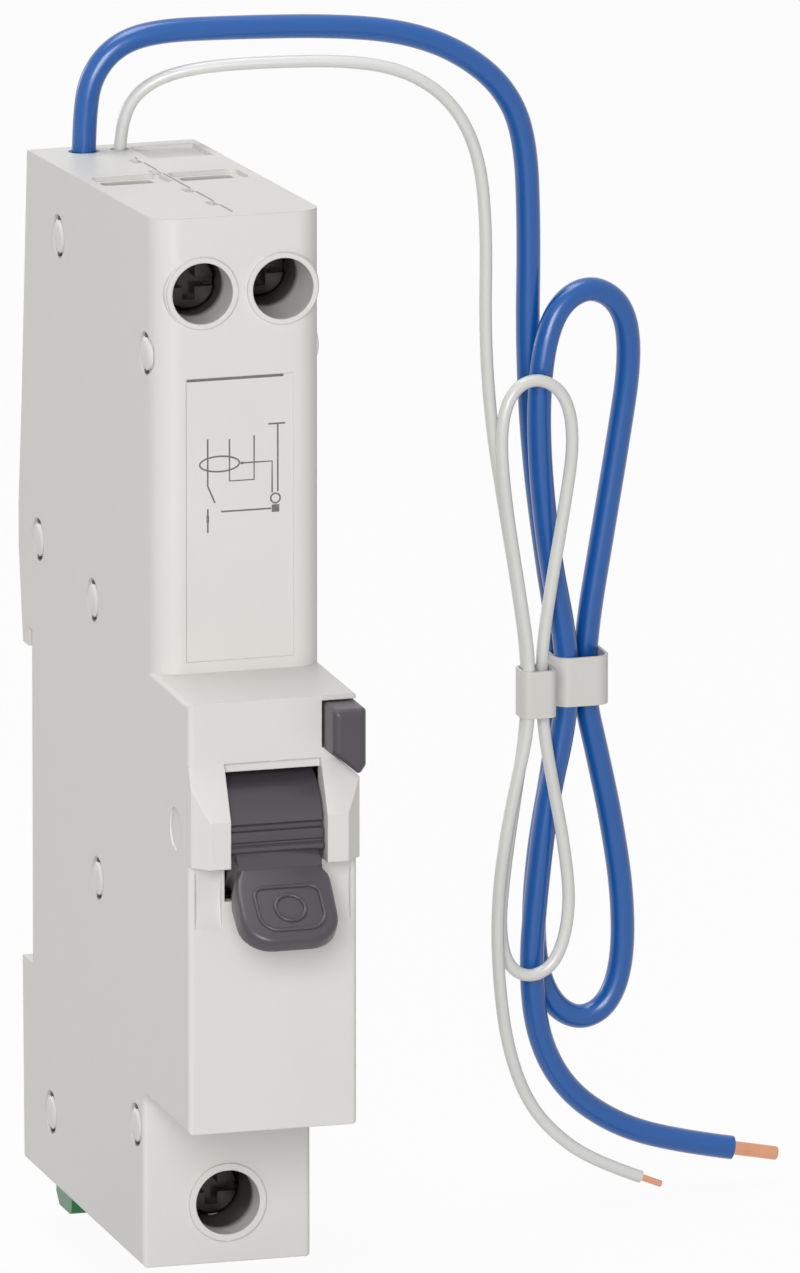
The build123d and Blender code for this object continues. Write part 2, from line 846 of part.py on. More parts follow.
runner_rise = 0.8 * arc_height
with BuildPart() as arc_runner:
    with BuildSketch(side_plane(arc_left + frame_board)):
        with BuildLine():
            Polyline(
                (arc_back - arc_plate_length - 1.2, arc_bottom - 0.5),
                (arc_back - arc_plate_length - 1.2, arc_bottom + runner_rise),
                (arc_back - arc_plate_length - 2.0, arc_bottom + runner_rise),
                (arc_back - arc_plate_length - 2.0, arc_bottom - 1.1),
                (arc_back, arc_bottom - 1.1),
                (arc_back, arc_bottom - 0.5),
                close=True,
            )
        make_face()
    extrude(amount=arc_right - arc_left - 2 * frame_board)

# ---------------------------------------------------------------- overcurrent trip
coil_x = -inner_half + 0.15 + coil_flange
bobbin_bore = plunger_radius + 0.1
bobbin_wall = 0.5
flange = 0.8
with BuildPart() as coil_bobbin:
    with BuildSketch(Plane(origin=(coil_x, coil_y, coil_z), x_dir=(1, 0, 0), z_dir=(0, 0, 1))):
        with BuildLine():
            Polyline(
                (bobbin_bore, -coil_length / 2),
                (coil_flange, -coil_length / 2),
                (coil_flange, -coil_length / 2 + flange),
                (bobbin_bore + bobbin_wall, -coil_length / 2 + flange),
                (bobbin_bore + bobbin_wall, coil_length / 2 - flange),
                (coil_flange, coil_length / 2 - flange),
                (coil_flange, coil_length / 2),
                (bobbin_bore, coil_length / 2),
                close=True,
            )
        make_face()
    revolve(axis=Axis((coil_x, coil_y, coil_z), (0, 1, 0)))

turn_pitch = (coil_length - 2 * flange) / coil_turns
coil_wire = turn_pitch / 2 - 0.01
coil_wrap = bobbin_bore + bobbin_wall + coil_wire + 0.02
with BuildPart() as trip_coil:
    with BuildSketch(Plane(origin=(coil_x, coil_y, coil_z), x_dir=(1, 0, 0), z_dir=(0, 0, 1))):
        for number in range(coil_turns):
            with Locations((coil_wrap, (number + 0.5 - coil_turns / 2) * turn_pitch)):
                Circle(coil_wire)
        with Locations((coil_wrap, 0)):
            Rectangle(coil_wire, turn_pitch * (coil_turns - 1))
    revolve(axis=Axis((coil_x, coil_y, coil_z), (0, 1, 0)))

yoke_sheet = 1.0
yoke_gap = 0.05
with BuildPart() as coil_yoke:
    with BuildSketch(side_plane(-inner_half + 0.1)):
        with BuildLine():
            end_y = coil_length / 2 + yoke_gap
            Polyline(
                (coil_y - end_y - yoke_sheet, coil_z + 2.6),
                (coil_y - end_y, coil_z + 2.6),
                (coil_y - end_y, coil_z - coil_flange - 0.1),
                (coil_y + end_y, coil_z - coil_flange - 0.1),
                (coil_y + end_y, coil_z + 2.6),
                (coil_y + end_y + yoke_sheet, coil_z + 2.6),
                (coil_y + end_y + yoke_sheet, coil_z - coil_flange - 0.1 - yoke_sheet),
                (coil_y - end_y - yoke_sheet, coil_z - coil_flange - 0.1 - yoke_sheet),
                close=True,
            )
        make_face()
    extrude(amount=2 * coil_flange)
    with BuildSketch(front_plane(coil_y - end_y - yoke_sheet)):
        with Locations((coil_x, coil_z)):
            Circle(bobbin_bore)
    extrude(amount=-2 * yoke_sheet, mode=Mode.SUBTRACT)

trip_arm = 0.8
trip_half = inner_half - 2.2
plunger_front = trip_y + trip_arm + plunger_travel + 2.0
with BuildPart() as coil_plunger:
    with BuildSketch(front_plane(coil_y + 2.0)):
        with Locations((coil_x, coil_z)):
            Circle(plunger_radius)
    extrude(amount=coil_y + 2.0 - plunger_front)

with BuildPart() as trip_lever:
    with BuildSketch(side_plane(-trip_half)):
        with Locations((trip_y, trip_z)):
            Circle(2.0)
        with Locations((trip_y, (release_z + 2 + coil_z - 2) / 2)):
            Rectangle(2 * trip_arm, release_z - coil_z + 4)
        with Locations((trip_y, trip_z)):
            Circle(trip_pin_radius + fit, mode=Mode.SUBTRACT)
    extrude(amount=2 * trip_half)

with BuildPart() as trip_lever_pin:
    with BuildSketch(side_plane(-pin_half)):
        with Locations((trip_y, trip_z)):
            Circle(trip_pin_radius)
    extrude(amount=2 * pin_half)

bimetal_y = -48.4
bimetal_sheet = 0.9
bimetal_left = -5.0
with BuildPart() as bimetal_bracket:
    with BuildSketch(side_plane(bimetal_left)):
        with BuildLine():
            Polyline(
                (bimetal_y - 8, nose_bottom + wall + fit),
                (bimetal_y + 4, nose_bottom + wall + fit),
                (bimetal_y + 4, nose_bottom + wall + 1.1),
                (bimetal_y - bimetal_sheet - fit, nose_bottom + wall + 1.1),
                (bimetal_y - bimetal_sheet - fit, nose_bottom + wall + 5),
                (bimetal_y - bimetal_sheet - 1.1, nose_bottom + wall + 5),
                (bimetal_y - bimetal_sheet - 1.1, nose_bottom + wall + 1.1),
                (bimetal_y - 8, nose_bottom + wall + 1.1),
                close=True,
            )
        make_face()
    extrude(amount=4.0)

with BuildPart() as bimetal_strip:
    with BuildSketch(side_plane(bimetal_left)):
        with Locations((bimetal_y - bimetal_sheet / 2, nose_bottom + wall + 1.15)):
            Rectangle(bimetal_sheet, -nose_bottom - wall, align=(Align.CENTER, Align.MIN))
    extrude(amount=4.0)

with BuildPart() as calibration_screw:
    with BuildSketch(front_plane(bimetal_y - bimetal_sheet - 1.1 - 4.0)):
        with Locations((bimetal_left + 2.0, nose_bottom + wall + 3.3)):
            Circle(0.9)
    extrude(amount=-4.0)
    with BuildSketch(front_plane(bimetal_y - bimetal_sheet - 1.1 - 4.0)):
        with Locations((bimetal_left + 2.0, nose_bottom + wall + 3.3)):
            Circle(1.6)
    extrude(amount=1.2)

braid_x = carrier_right + arm_thickness / 2
braid_radius = 0.7
braid_start = (braid_x, bimetal_y + braid_radius + fit, -5.0)
with BuildPart() as flexible_braid:
    with BuildLine():
        FilletPolyline(
            braid_start,
            (braid_x, bimetal_y + braid_radius + 0.2, -13.0),
            (braid_x, -43.0, -14.5),
            (braid_x, -40.6, -8.5),
            radius=2.4,
        )
    with BuildSketch(Plane(origin=braid_start, z_dir=(0, 0, -1))):
        Circle(braid_radius)
    sweep(transition=Transition.RIGHT)

# ---------------------------------------------------------------- residual current side
sensor_left = -inner_half + 0.2
with BuildPart() as sensing_core:
    with BuildSketch(side_plane(sensor_left + 0.8)):
        with Locations((sensor_y, sensor_z)):
            Circle(sensor_outer - 0.8)
            Circle(sensor_inner + 0.8, mode=Mode.SUBTRACT)
    extrude(amount=sensor_width - 1.6)

with BuildPart() as sensing_winding:
    with BuildSketch(Plane(origin=(0, sensor_y, sensor_z), x_dir=(1, 0, 0), z_dir=(0, 0, 1))):
        with Locations((sensor_left + sensor_width / 2, (sensor_outer + sensor_inner) / 2)):
            Rectangle(sensor_width, sensor_outer - sensor_inner)
            Rectangle(sensor_width - 1.5, sensor_outer - sensor_inner - 1.5, mode=Mode.SUBTRACT)
    revolve(axis=Axis((0, sensor_y, sensor_z), (1, 0, 0)), revolution_arc=320)

board_right = inner_half - 0.2
with BuildPart() as circuit_board:
    with BuildSketch(side_plane(board_right - board_thickness)):
        with Locations((board_y, board_z)):
            Rectangle(board_length, board_height)
    extrude(amount=board_thickness)
    with BuildSketch(side_plane(board_right - board_thickness)):
        with Locations(*[(board_y + s * (board_length / 2 - 2), board_z + board_height / 2 - 2) for s in (-1, 1)]):
            Circle(1.0)
    extrude(amount=board_thickness, mode=Mode.SUBTRACT)

board_face = board_right - board_thickness
step_y = 0.3 * board_length
step_z = 0.22 * board_height
with BuildPart() as board_components:
    with BuildSketch(side_plane(board_face)):
        with Locations((board_y - step_y, board_z - step_z), (board_y + step_y, board_z + step_z)):
            Rectangle(board_length / 5, board_height / 5)
        for place in (0.2, 0.6, 1.0):
            with Locations((board_y + place * step_y, board_z - 1.6 * step_z)):
                Rectangle(board_length / 14, board_height / 16)
    extrude(amount=-1.4)
    with BuildSketch(side_plane(board_face)):
        with Locations((board_y + 1.2 * step_y, board_z - step_z / 2), (board_y - 1.2 * step_y, board_z + step_z)):
            Circle(board_height / 9)
    extrude(amount=-4.6)

release_y = -26.0
release_length = 13.0
release_width = 6.4
release_height = 6.6
with BuildPart() as release_solenoid:
    with BuildSketch(front_plane(release_y)):
        with Locations((inner_half - 0.2 - release_width / 2, release_z - 0.6)):
            RectangleRounded(release_width, release_height, 0.6)
            Circle(1.2, mode=Mode.SUBTRACT)
    extrude(amount=-release_length)

release_x = inner_half - 0.2 - release_width / 2
release_gap = 0.25
release_front = trip_y + trip_arm + release_gap
with BuildPart() as release_plunger:
    with BuildSketch(front_plane(release_y + 6)):
        with Locations((release_x, release_z - 0.6)):
            Circle(1.1)
    extrude(amount=release_y + 6 - release_front)

# ---------------------------------------------------------------- test button
button_front = nose_front - button_proud
with BuildPart() as test_button:
    with BuildSketch(front_plane(button_front)):
        with BuildLine():
            Polyline(*button_outline, close=True)
        make_face()
    extrude(amount=-(button_proud + button_depth))
    fillet(test_button.edges().filter_by(Axis.Y), button_nick / 2)
    crown = test_button.faces().sort_by(Axis.Y)[0]
    fillet(crown.edges(), button_nick)
    with BuildSketch(front_plane(button_front + 2)):
        with Locations((stem_x, button_z)):
            Circle(button_stem_radius)
    extrude(amount=-(pocket_floor - button_front - 2 + 2 * wall))

button_spring_wire = 0.22
test_button_spring = coil_spring(
    Plane(origin=(stem_x, pocket_floor, button_z), z_dir=(0, -1, 0)),
    button_stem_radius + 0.35,
    button_spring_wire,
    pocket_floor - nose_front - button_depth,
    4,
)

contact_y = pocket_floor + 2 * wall + button_travel + running
with BuildPart() as test_contact_strip:
    with BuildSketch(side_plane(inner_half - 0.1 - 2.0)):
        with BuildLine():
            Polyline(
                (contact_y, button_z - 2.0),
                (contact_y + 0.4, button_z - 2.0),
                (contact_y + 0.4, nose_top - wall - 0.1),
                (contact_y, nose_top - wall - 0.1),
                close=True,
            )
        make_face()
    extrude(amount=2.0)

# ---------------------------------------------------------------- terminals


def terminal_cage(x, front, z):
    """Lifting cage with a tunnel for the wire and a threaded front wall."""
    middle = front + cage_length / 2
    with BuildPart() as cage:
        with Locations((x, middle, z)):
            Box(cage_width, cage_length, cage_height)
        fillet(cage.edges().filter_by(Axis.Z), 0.5)
        tunnel_length = cage_length - thread_wall - cage_wall
        with BuildSketch(Plane.XY.offset(z - cage_height / 2)):
            with Locations((x, front + thread_wall + tunnel_length / 2)):
                Rectangle(cage_width - 2 * cage_wall, tunnel_length)
        extrude(amount=cage_height, mode=Mode.SUBTRACT)
        with BuildSketch(front_plane(front)):
            with Locations((x, z)):
                Circle(screw_shank_radius + fit)
        extrude(amount=-thread_wall, mode=Mode.SUBTRACT)
    return cage


def terminal_screw(x, head_y, cage_front, z):
    """Slotted cross-recess screw whose shank ends flush with the cage's threads."""
    shank = cage_front - head_y - screw_head_height + thread_wall
    with BuildPart() as screw:
        with BuildSketch(front_plane(head_y)):
            with Locations((x, z)):
                Circle(screw_head_radius)
        extrude(amount=-screw_head_height)
        fillet(screw.faces().sort_by(Axis.Y)[0].edges(), 0.3)
        with BuildSketch(front_plane(head_y + screw_head_height)):
            with Locations((x, z)):
                Circle(screw_shank_radius)
        extrude(amount=-shank)
        with BuildSketch(front_plane(head_y)):
            with Locations((x, z)):
                Rectangle(2 * screw_head_radius, 1.0)
                Rectangle(1.3, 3.6)
        extrude(amount=-1.3, mode=Mode.SUBTRACT)
    return screw


def terminal_bar(x, cage_front, low, high, foot):
    """Flat bar that the wire is pressed on, with a foot turned to the back."""
    front = cage_front + bar_in_cage
    with BuildPart() as bar:
        with BuildSketch(side_plane(x - bar_width / 2)):
            with BuildLine():
                Polyline(
                    (front, low),
                    (front, high),
                    (front + bar_thickness, high),
                    (front + bar_thickness, low + bar_thickness),
                    (front + foot, low + bar_thickness),
                    (front + foot, low),
                    close=True,
                )
            make_face()
        extrude(amount=bar_width)
    return bar


terminals = {
    "neutral_out": (terminal_x[-1], body_front + neutral_depth, upper_cage, terminal_z),
    "load_out": (terminal_x[1], body_front + load_depth, upper_cage, terminal_z),
    "line_in": (0, lower_head, lower_cage, block_terminal_z),
}
for name, (x, head_y, cage_front, z) in terminals.items():
    write(terminal_cage(x, cage_front, z), f"{name}_cage")
    write(terminal_screw(x, head_y, cage_front, z), f"{name}_screw")
bar_top = terminal_z + cage_height / 2 + running
bar_bottom = bar_top - cage_height - 2 * wall
for name in ("neutral_out", "load_out"):
    x, head_y, cage_front, z = terminals[name]
    write(terminal_bar(x, cage_front, bar_bottom, bar_top, cage_height - bar_in_cage), f"{name}_bar")
line_top = arc_bottom - 1.1 - running
with BuildPart() as line_in_bar:
    line_front = lower_cage + bar_in_cage
    with BuildSketch(side_plane(-bar_width / 2)):
        with BuildLine():
            Polyline(
                (line_front, block_bottom + wall + running),
                (line_front, line_top),
                (line_front + bar_thickness, line_top),
                (line_front + bar_thickness, block_bottom + wall + running),
                close=True,
            )
        make_face()
    extrude(amount=bar_width)

# ---------------------------------------------------------------- rail clip
clip_half = clip_width / 2
bar_back = channel_back - running
bar_front = ledge_back + 1.4
shelf_bottom = ledge_top + 2 * clip_travel
shelf_top = shelf_bottom + 1.8
foot_top = ledge_bottom - running
with BuildPart() as rail_clip:
    with BuildSketch(side_plane(-clip_half)):
        with BuildLine():
            Polyline(
                (clip_channel_front + running, shelf_bottom),
                (clip_channel_front + running, shelf_top),
                (bar_back, shelf_top),
                (bar_back, clip_tab_bottom + clip_chamfer),
                (bar_back - clip_chamfer, clip_tab_bottom),
                (clip_tab_front, clip_tab_bottom),
                (clip_tab_front, block_bottom),
                (clip_channel_front + running, block_bottom),
                (clip_channel_front + running, foot_top),
                (bar_front, foot_top),
                (bar_front, shelf_bottom),
                close=True,
            )
        make_face()
    extrude(amount=clip_width)
    with BuildSketch(side_plane(-hook_half)):
        with BuildLine():
            Polyline(
                (bar_back - 1, shelf_bottom - 6),
                (bar_back - 1, shelf_top - fit),
                (rail_slot_depth + fit, shelf_top),
                (rail_slot_depth + fit, -lip_z + 0.05),
                (rail_slot_depth + 0.8, -lip_z + 0.05),
                (lip_back, -lip_z - 2.0),
                (lip_back, shelf_bottom - 6),
                close=True,
            )
        make_face()
    extrude(amount=2 * hook_half)
    with BuildSketch(Plane.XY.offset(clip_tab_bottom)):
        with Locations((0, (clip_tab_front + bar_back) / 2)):
            RectangleRounded(5.5, 2.2, 0.5)
    extrude(amount=4.0, mode=Mode.SUBTRACT)
    fillet(rail_clip.edges().group_by(Axis.Z)[0].filter_by(Axis.X).group_by(Axis.Y)[0], 0.8)

clip_spring_wire = 0.3
clip_spring_y = (clip_channel_front + ledge_back) / 2
rail_clip_spring = coil_spring(
    Plane(origin=(0, clip_spring_y, ledge_top), z_dir=(0, 0, 1)),
    1.6,
    clip_spring_wire,
    shelf_bottom - ledge_top,
    5,
)

# ---------------------------------------------------------------- leads
blue_route = [
    (-3.7, -1.7, 68.3),
    (-3.6, -1.7, 72.6),
    (-2.9, -1.7, 76.4),
    (-0.4, -1.7, 79.4),
    (3.7, -1.7, 80.7),
    (11.5, -1.7, 80.6),
    (22.8, -1.7, 80.1),
    (30.5, -1.7, 79.0),
    (36.4, -1.7, 76.6),
    (41.2, -1.7, 72.6),
    (43.6, -1.7, 67.2),
    (44.0, -1.7, 57.0),
    (43.8, -1.7, 45.2),
    (44.4, -1.7, 33.6),
    (45.9, -1.7, 22.0),
    (47.3, -1.7, 13.5),
    (47.5, -1.7, 6.5),
    (46.6, -1.7, -0.5),
    (45.2, -1.7, -8.0),
    (44.5, -1.7, -15.5),
    (44.8, -1.7, -21.5),
    (46.6, -1.7, -25.8),
    (49.6, -1.7, -27.6),
    (52.6, -1.7, -26.2),
    (54.2, -1.7, -21.8),
    (54.2, -1.7, -14.5),
    (53.0, -1.7, -6.5),
    (51.4, -1.7, 1.0),
    (49.9, -1.7, 7.5),
    (50.3, -1.7, 14.5),
    (51.9, -1.7, 24.0),
    (53.6, -1.7, 34.0),
    (54.9, -2.0, 43.1),
    (53.9, -2.6, 48.8),
    (50.2, -3.2, 51.3),
    (46.4, -3.9, 49.5),
    (44.5, -4.4, 44.1),
    (44.2, -4.4, 35.1),
    (45.3, -4.4, 23.6),
    (47.4, -4.4, 13.1),
    (47.3, -4.4, 5.6),
    (45.2, -4.4, -3.4),
    (44.1, -4.4, -12.4),
    (43.4, -4.4, -20.9),
    (44.2, -4.4, -28.4),
    (47.2, -4.4, -34.2),
    (52.4, -4.4, -38.2),
    (58.7, -4.4, -40.5),
    (65.3, -4.4, -41.8),
]
white_route = [
    (0.1, -1.8, 68.3),
    (0.3, -1.8, 71.0),
    (1.3, -2.2, 73.9),
    (3.9, -2.8, 76.0),
    (8.5, -3.6, 77.1),
    (16.1, -4.8, 77.4),
    (24.3, -6.0, 77.2),
    (30.0, -6.6, 75.7),
    (34.5, -7.0, 72.2),
    (37.2, -7.0, 66.4),
    (37.9, -7.0, 58.2),
    (37.7, -7.0, 48.2),
    (38.3, -7.0, 38.7),
    (39.7, -7.0, 29.7),
    (41.3, -7.0, 20.2),
    (42.3, -7.0, 12.7),
    (42.2, -7.0, 5.7),
    (41.1, -7.0, -1.3),
    (39.9, -7.0, -9.3),
    (39.3, -7.0, -15.8),
    (40.2, -7.0, -20.0),
    (42.9, -7.0, -21.4),
    (45.7, -7.0, -19.6),
    (47.0, -7.0, -14.2),
    (46.4, -7.0, -7.8),
    (45.0, -7.0, -0.3),
    (43.9, -7.0, 6.2),
    (43.8, -7.0, 13.2),
    (44.9, -7.0, 20.7),
    (46.3, -7.0, 28.7),
    (47.3, -7.2, 35.8),
    (46.3, -7.6, 40.9),
    (43.2, -7.9, 43.0),
    (40.2, -8.2, 41.8),
    (38.9, -8.5, 37.6),
    (39.5, -8.5, 30.1),
    (41.0, -8.5, 20.6),
    (42.2, -8.5, 12.6),
    (42.0, -8.5, 5.6),
    (40.7, -8.5, 0.1),
    (39.4, -8.5, -6.4),
    (38.6, -8.5, -13.4),
    (38.8, -8.5, -20.9),
    (39.8, -8.5, -28.4),
    (42.1, -8.5, -34.6),
    (45.9, -8.5, -38.8),
    (50.1, -8.5, -41.4),
    (54.2, -8.5, -43.1),
]


def corner_radii(route):
    """Largest arc at each corner: 0.45 of the shorter run over tan of half the turn."""
    radii = []
    for before, here, after in zip(route, route[1:], route[2:]):
        run_in = Vector(*here) - Vector(*before)
        run_out = Vector(*after) - Vector(*here)
        half_turn = radians(run_in.get_angle(run_out)) / 2
        radii.append(0.45 * min(run_in.length, run_out.length) / tan(half_turn))
    return radii


def lead(route, diameter, label):
    """Insulated lead along its route, with a report of its radii and its volume."""
    radii = corner_radii(route)
    with BuildPart() as tube:
        with BuildLine() as path:
            FilletPolyline(*route, radius=radii)
        with BuildSketch(Plane(origin=route[0], z_dir=path.line % 0)):
            Circle(diameter / 2)
        sweep()
    section = pi * diameter**2 / 4
    length = sum(edge.length for edge in path.line.edges())
    share = tube.part.volume / (section * length)
    print(f"{label}: length {length:.1f}, tightest radius {min(radii):.2f}, volume share {share:.4f}")
    return tube


def bare_end(route, diameter, length):
    """Stripped copper strand that continues the lead's last run."""
    last = Vector(*route[-1])
    heading = (last - Vector(*route[-2])).normalized()
    with BuildPart() as core:
        with BuildSketch(Plane(origin=last, z_dir=heading)):
            Circle(diameter / 2)
        extrude(amount=length)
        fillet(core.faces().sort_by(Axis.X)[-1].edges(), diameter / 8)
    return core


def lead_tie(strands, diameter, low, high):
    """Sleeve wrapped round the three passes of a folded lead."""
    left = min(x for x, y in strands)
    right = max(x for x, y in strands)
    near = min(y for x, y in strands)
    far = max(y for x, y in strands)
    inner_x = right - left + diameter + 2 * fit
    inner_y = far - near + diameter + 2 * fit
    with BuildPart() as tie:
        with BuildSketch(Plane.XY.offset(low)):
            with Locations(((left + right) / 2, (near + far) / 2)):
                RectangleRounded(inner_x + 2 * tie_wall, inner_y + 2 * tie_wall, diameter / 2 + tie_wall)
                RectangleRounded(inner_x, inner_y, diameter / 2, mode=Mode.SUBTRACT)
        extrude(amount=high - low)
    return tie


blue_lead = lead(blue_route, blue_diameter, "blue lead")
white_lead = lead(white_route, white_diameter, "white lead")
blue_lead_core = bare_end(blue_route, blue_core_diameter, blue_core_length)
white_lead_core = bare_end(white_route, white_core_diameter, white_core_length)
blue_lead_tie = lead_tie([(47.4, -1.7), (50.1, -1.7), (47.4, -4.4)], blue_diameter, 7.1, 12.3)
white_lead_tie = lead_tie([(42.2, -7.0), (43.9, -7.0), (42.1, -8.5)], white_diameter, 7.0, 12.0)

clamp_top = body_back_top - wall - 0.9
clamp_height = 5.0
with BuildPart() as lead_clamp:
    with BuildSketch(Plane.XY.offset(clamp_top - clamp_height)):
        with Locations((-2.4, -3.1)):
            RectangleRounded(9.0, 5.6, 0.8)
        for lead_x, lead_y, diameter in lead_places.values():
            with Locations((lead_x, lead_y)):
                Circle(diameter / 2 + pin_fit, mode=Mode.SUBTRACT)
    extrude(amount=clamp_height)

wire_radius = 0.9
wire_x, wire_y, _ = lead_places["blue"]
with BuildPart() as internal_wires:
    with BuildLine():
        FilletPolyline(
            (wire_x, wire_y, clamp_top - clamp_height),
            (wire_x, wire_y, sensor_z + 1.2 * sensor_outer),
            (wire_x, wire_y + 1.2 * (sensor_y / 3), sensor_z + 0.6 * sensor_outer),
            (1.0, sensor_y + 1.5 * sensor_outer, sensor_z + 1.2),
            (1.6, sensor_y, sensor_z + 1.2),
            (sensor_left - 0.2, sensor_y, sensor_z + 1.2),
            radius=1.6,
        )
    with BuildSketch(Plane(origin=(wire_x, wire_y, clamp_top - clamp_height), z_dir=(0, 0, -1))):
        Circle(wire_radius)
    sweep()

finished = {
    "housing_left": housing_left,
    "housing_right": housing_right,
    "housing_rivets": rivets,
    "toggle": toggle,
    "toggle_pin": toggle_pin,
    "toggle_spring": toggle_spring,
    "toggle_link": toggle_link,
    "contact_carrier": contact_carrier,
    "carrier_pin": carrier_pin,
    "moving_contact_arm": moving_contact_arm,
    "moving_contact_tip": moving_contact_tip,
    "fixed_contact": fixed_contact,
    "fixed_contact_tip": fixed_contact_tip,
    "contact_spring": contact_spring,
    "arc_plates": arc_plates,
    "arc_chamber_boards": arc_chamber_boards,
    "arc_runner": arc_runner,
    "coil_bobbin": coil_bobbin,
    "trip_coil": trip_coil,
    "coil_yoke": coil_yoke,
    "coil_plunger": coil_plunger,
    "trip_lever": trip_lever,
    "trip_lever_pin": trip_lever_pin,
    "bimetal_bracket": bimetal_bracket,
    "bimetal_strip": bimetal_strip,
    "calibration_screw": calibration_screw,
    "flexible_braid": flexible_braid,
    "sensing_core": sensing_core,
    "sensing_winding": sensing_winding,
    "circuit_board": circuit_board,
    "board_components": board_components,
    "release_solenoid": release_solenoid,
    "release_plunger": release_plunger,
    "test_button": test_button,
    "test_button_spring": test_button_spring,
    "test_contact_strip": test_contact_strip,
    "line_in_bar": line_in_bar,
    "rail_clip": rail_clip,
    "rail_clip_spring": rail_clip_spring,
    "lead_clamp": lead_clamp,
    "internal_wires": internal_wires,
    "blue_lead": blue_lead,
    "blue_lead_core": blue_lead_core,
    "blue_lead_tie": blue_lead_tie,
    "white_lead": white_lead,
    "white_lead_core": white_lead_core,
    "white_lead_tie": white_lead_tie,
}
for label, piece in finished.items():
    write(piece, label)
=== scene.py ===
import json
import math

import bmesh
import bpy
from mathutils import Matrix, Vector
from mathutils.bvhtree import BVHTree


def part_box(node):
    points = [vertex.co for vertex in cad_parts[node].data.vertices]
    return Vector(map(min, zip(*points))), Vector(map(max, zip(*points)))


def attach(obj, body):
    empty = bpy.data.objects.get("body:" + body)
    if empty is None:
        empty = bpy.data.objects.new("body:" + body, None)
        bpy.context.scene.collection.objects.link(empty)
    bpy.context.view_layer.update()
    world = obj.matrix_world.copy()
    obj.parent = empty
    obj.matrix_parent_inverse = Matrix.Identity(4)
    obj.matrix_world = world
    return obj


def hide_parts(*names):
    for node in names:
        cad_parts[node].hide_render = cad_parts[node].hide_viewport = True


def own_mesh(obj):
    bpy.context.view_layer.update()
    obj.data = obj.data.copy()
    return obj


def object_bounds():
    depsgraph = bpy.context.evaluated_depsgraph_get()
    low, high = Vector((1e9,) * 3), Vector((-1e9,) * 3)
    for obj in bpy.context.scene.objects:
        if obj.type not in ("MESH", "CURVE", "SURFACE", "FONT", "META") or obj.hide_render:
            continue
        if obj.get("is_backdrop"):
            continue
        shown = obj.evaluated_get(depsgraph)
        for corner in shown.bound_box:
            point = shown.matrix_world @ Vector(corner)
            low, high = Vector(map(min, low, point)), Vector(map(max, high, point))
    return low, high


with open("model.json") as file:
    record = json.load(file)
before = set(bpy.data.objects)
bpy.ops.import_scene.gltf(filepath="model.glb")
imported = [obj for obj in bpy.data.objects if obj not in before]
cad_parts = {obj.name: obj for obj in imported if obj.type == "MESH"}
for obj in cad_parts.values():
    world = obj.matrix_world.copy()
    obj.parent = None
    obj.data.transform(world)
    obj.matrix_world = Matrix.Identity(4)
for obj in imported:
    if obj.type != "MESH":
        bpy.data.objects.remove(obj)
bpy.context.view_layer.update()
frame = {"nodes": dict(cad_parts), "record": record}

bl_info = {
    "name": "Residual Current Breaker",
    "version": (1, 0, 0),
    "blender": (4, 5, 0),
    "location": "View3D > Sidebar > Breaker",
    "description": "Finishes, fly leads and studio for a one-module residual current breaker",
    "category": "Object",
}

MM = 0.001
WELD = 0.001 * MM  # distance at which corners of a CAD mesh count as one
# stretches of the roof where the seam shows, along y in millimetres
SEAM_RUNS = [(-8.6, -8.0), (-11.6, -16.2), (-19.0, -28.6), (-31.4, -37.5), (-40.3, -44.6)]

# routes of the two leads, in metres, from the roof of the case to the stripped end
BLUE_ROUTE = [
    (-0.0037, -0.0017, 0.0683),
    (-0.0036, -0.0017, 0.0726),
    (-0.0029, -0.0017, 0.0764),
    (-0.0004, -0.0017, 0.0794),
    (0.0037, -0.0017, 0.0807),
    (0.0115, -0.0017, 0.0806),
    (0.0228, -0.0017, 0.0801),
    (0.0305, -0.0017, 0.0790),
    (0.0364, -0.0017, 0.0766),
    (0.0412, -0.0017, 0.0726),
    (0.0436, -0.0017, 0.0672),
    (0.0440, -0.0017, 0.0570),
    (0.0438, -0.0017, 0.0452),
    (0.0444, -0.0017, 0.0336),
    (0.0459, -0.0017, 0.0220),
    (0.0473, -0.0017, 0.0135),
    (0.0475, -0.0017, 0.0065),
    (0.0466, -0.0017, -0.0005),
    (0.0452, -0.0017, -0.0080),
    (0.0445, -0.0017, -0.0155),
    (0.0448, -0.0017, -0.0215),
    (0.0466, -0.0017, -0.0258),
    (0.0496, -0.0017, -0.0276),
    (0.0526, -0.0017, -0.0262),
    (0.0542, -0.0017, -0.0218),
    (0.0542, -0.0017, -0.0145),
    (0.0530, -0.0017, -0.0065),
    (0.0514, -0.0017, 0.0010),
    (0.0499, -0.0017, 0.0075),
    (0.0503, -0.0017, 0.0145),
    (0.0519, -0.0017, 0.0240),
    (0.0536, -0.0017, 0.0340),
    (0.0549, -0.0020, 0.0431),
    (0.0539, -0.0026, 0.0488),
    (0.0502, -0.0032, 0.0513),
    (0.0464, -0.0039, 0.0495),
    (0.0445, -0.0044, 0.0441),
    (0.0442, -0.0044, 0.0351),
    (0.0453, -0.0044, 0.0236),
    (0.0474, -0.0044, 0.0131),
    (0.0473, -0.0044, 0.0056),
    (0.0452, -0.0044, -0.0034),
    (0.0441, -0.0044, -0.0124),
    (0.0434, -0.0044, -0.0209),
    (0.0442, -0.0044, -0.0284),
    (0.0472, -0.0044, -0.0342),
    (0.0524, -0.0044, -0.0382),
    (0.0587, -0.0044, -0.0405),
    (0.0653, -0.0044, -0.0418),
]
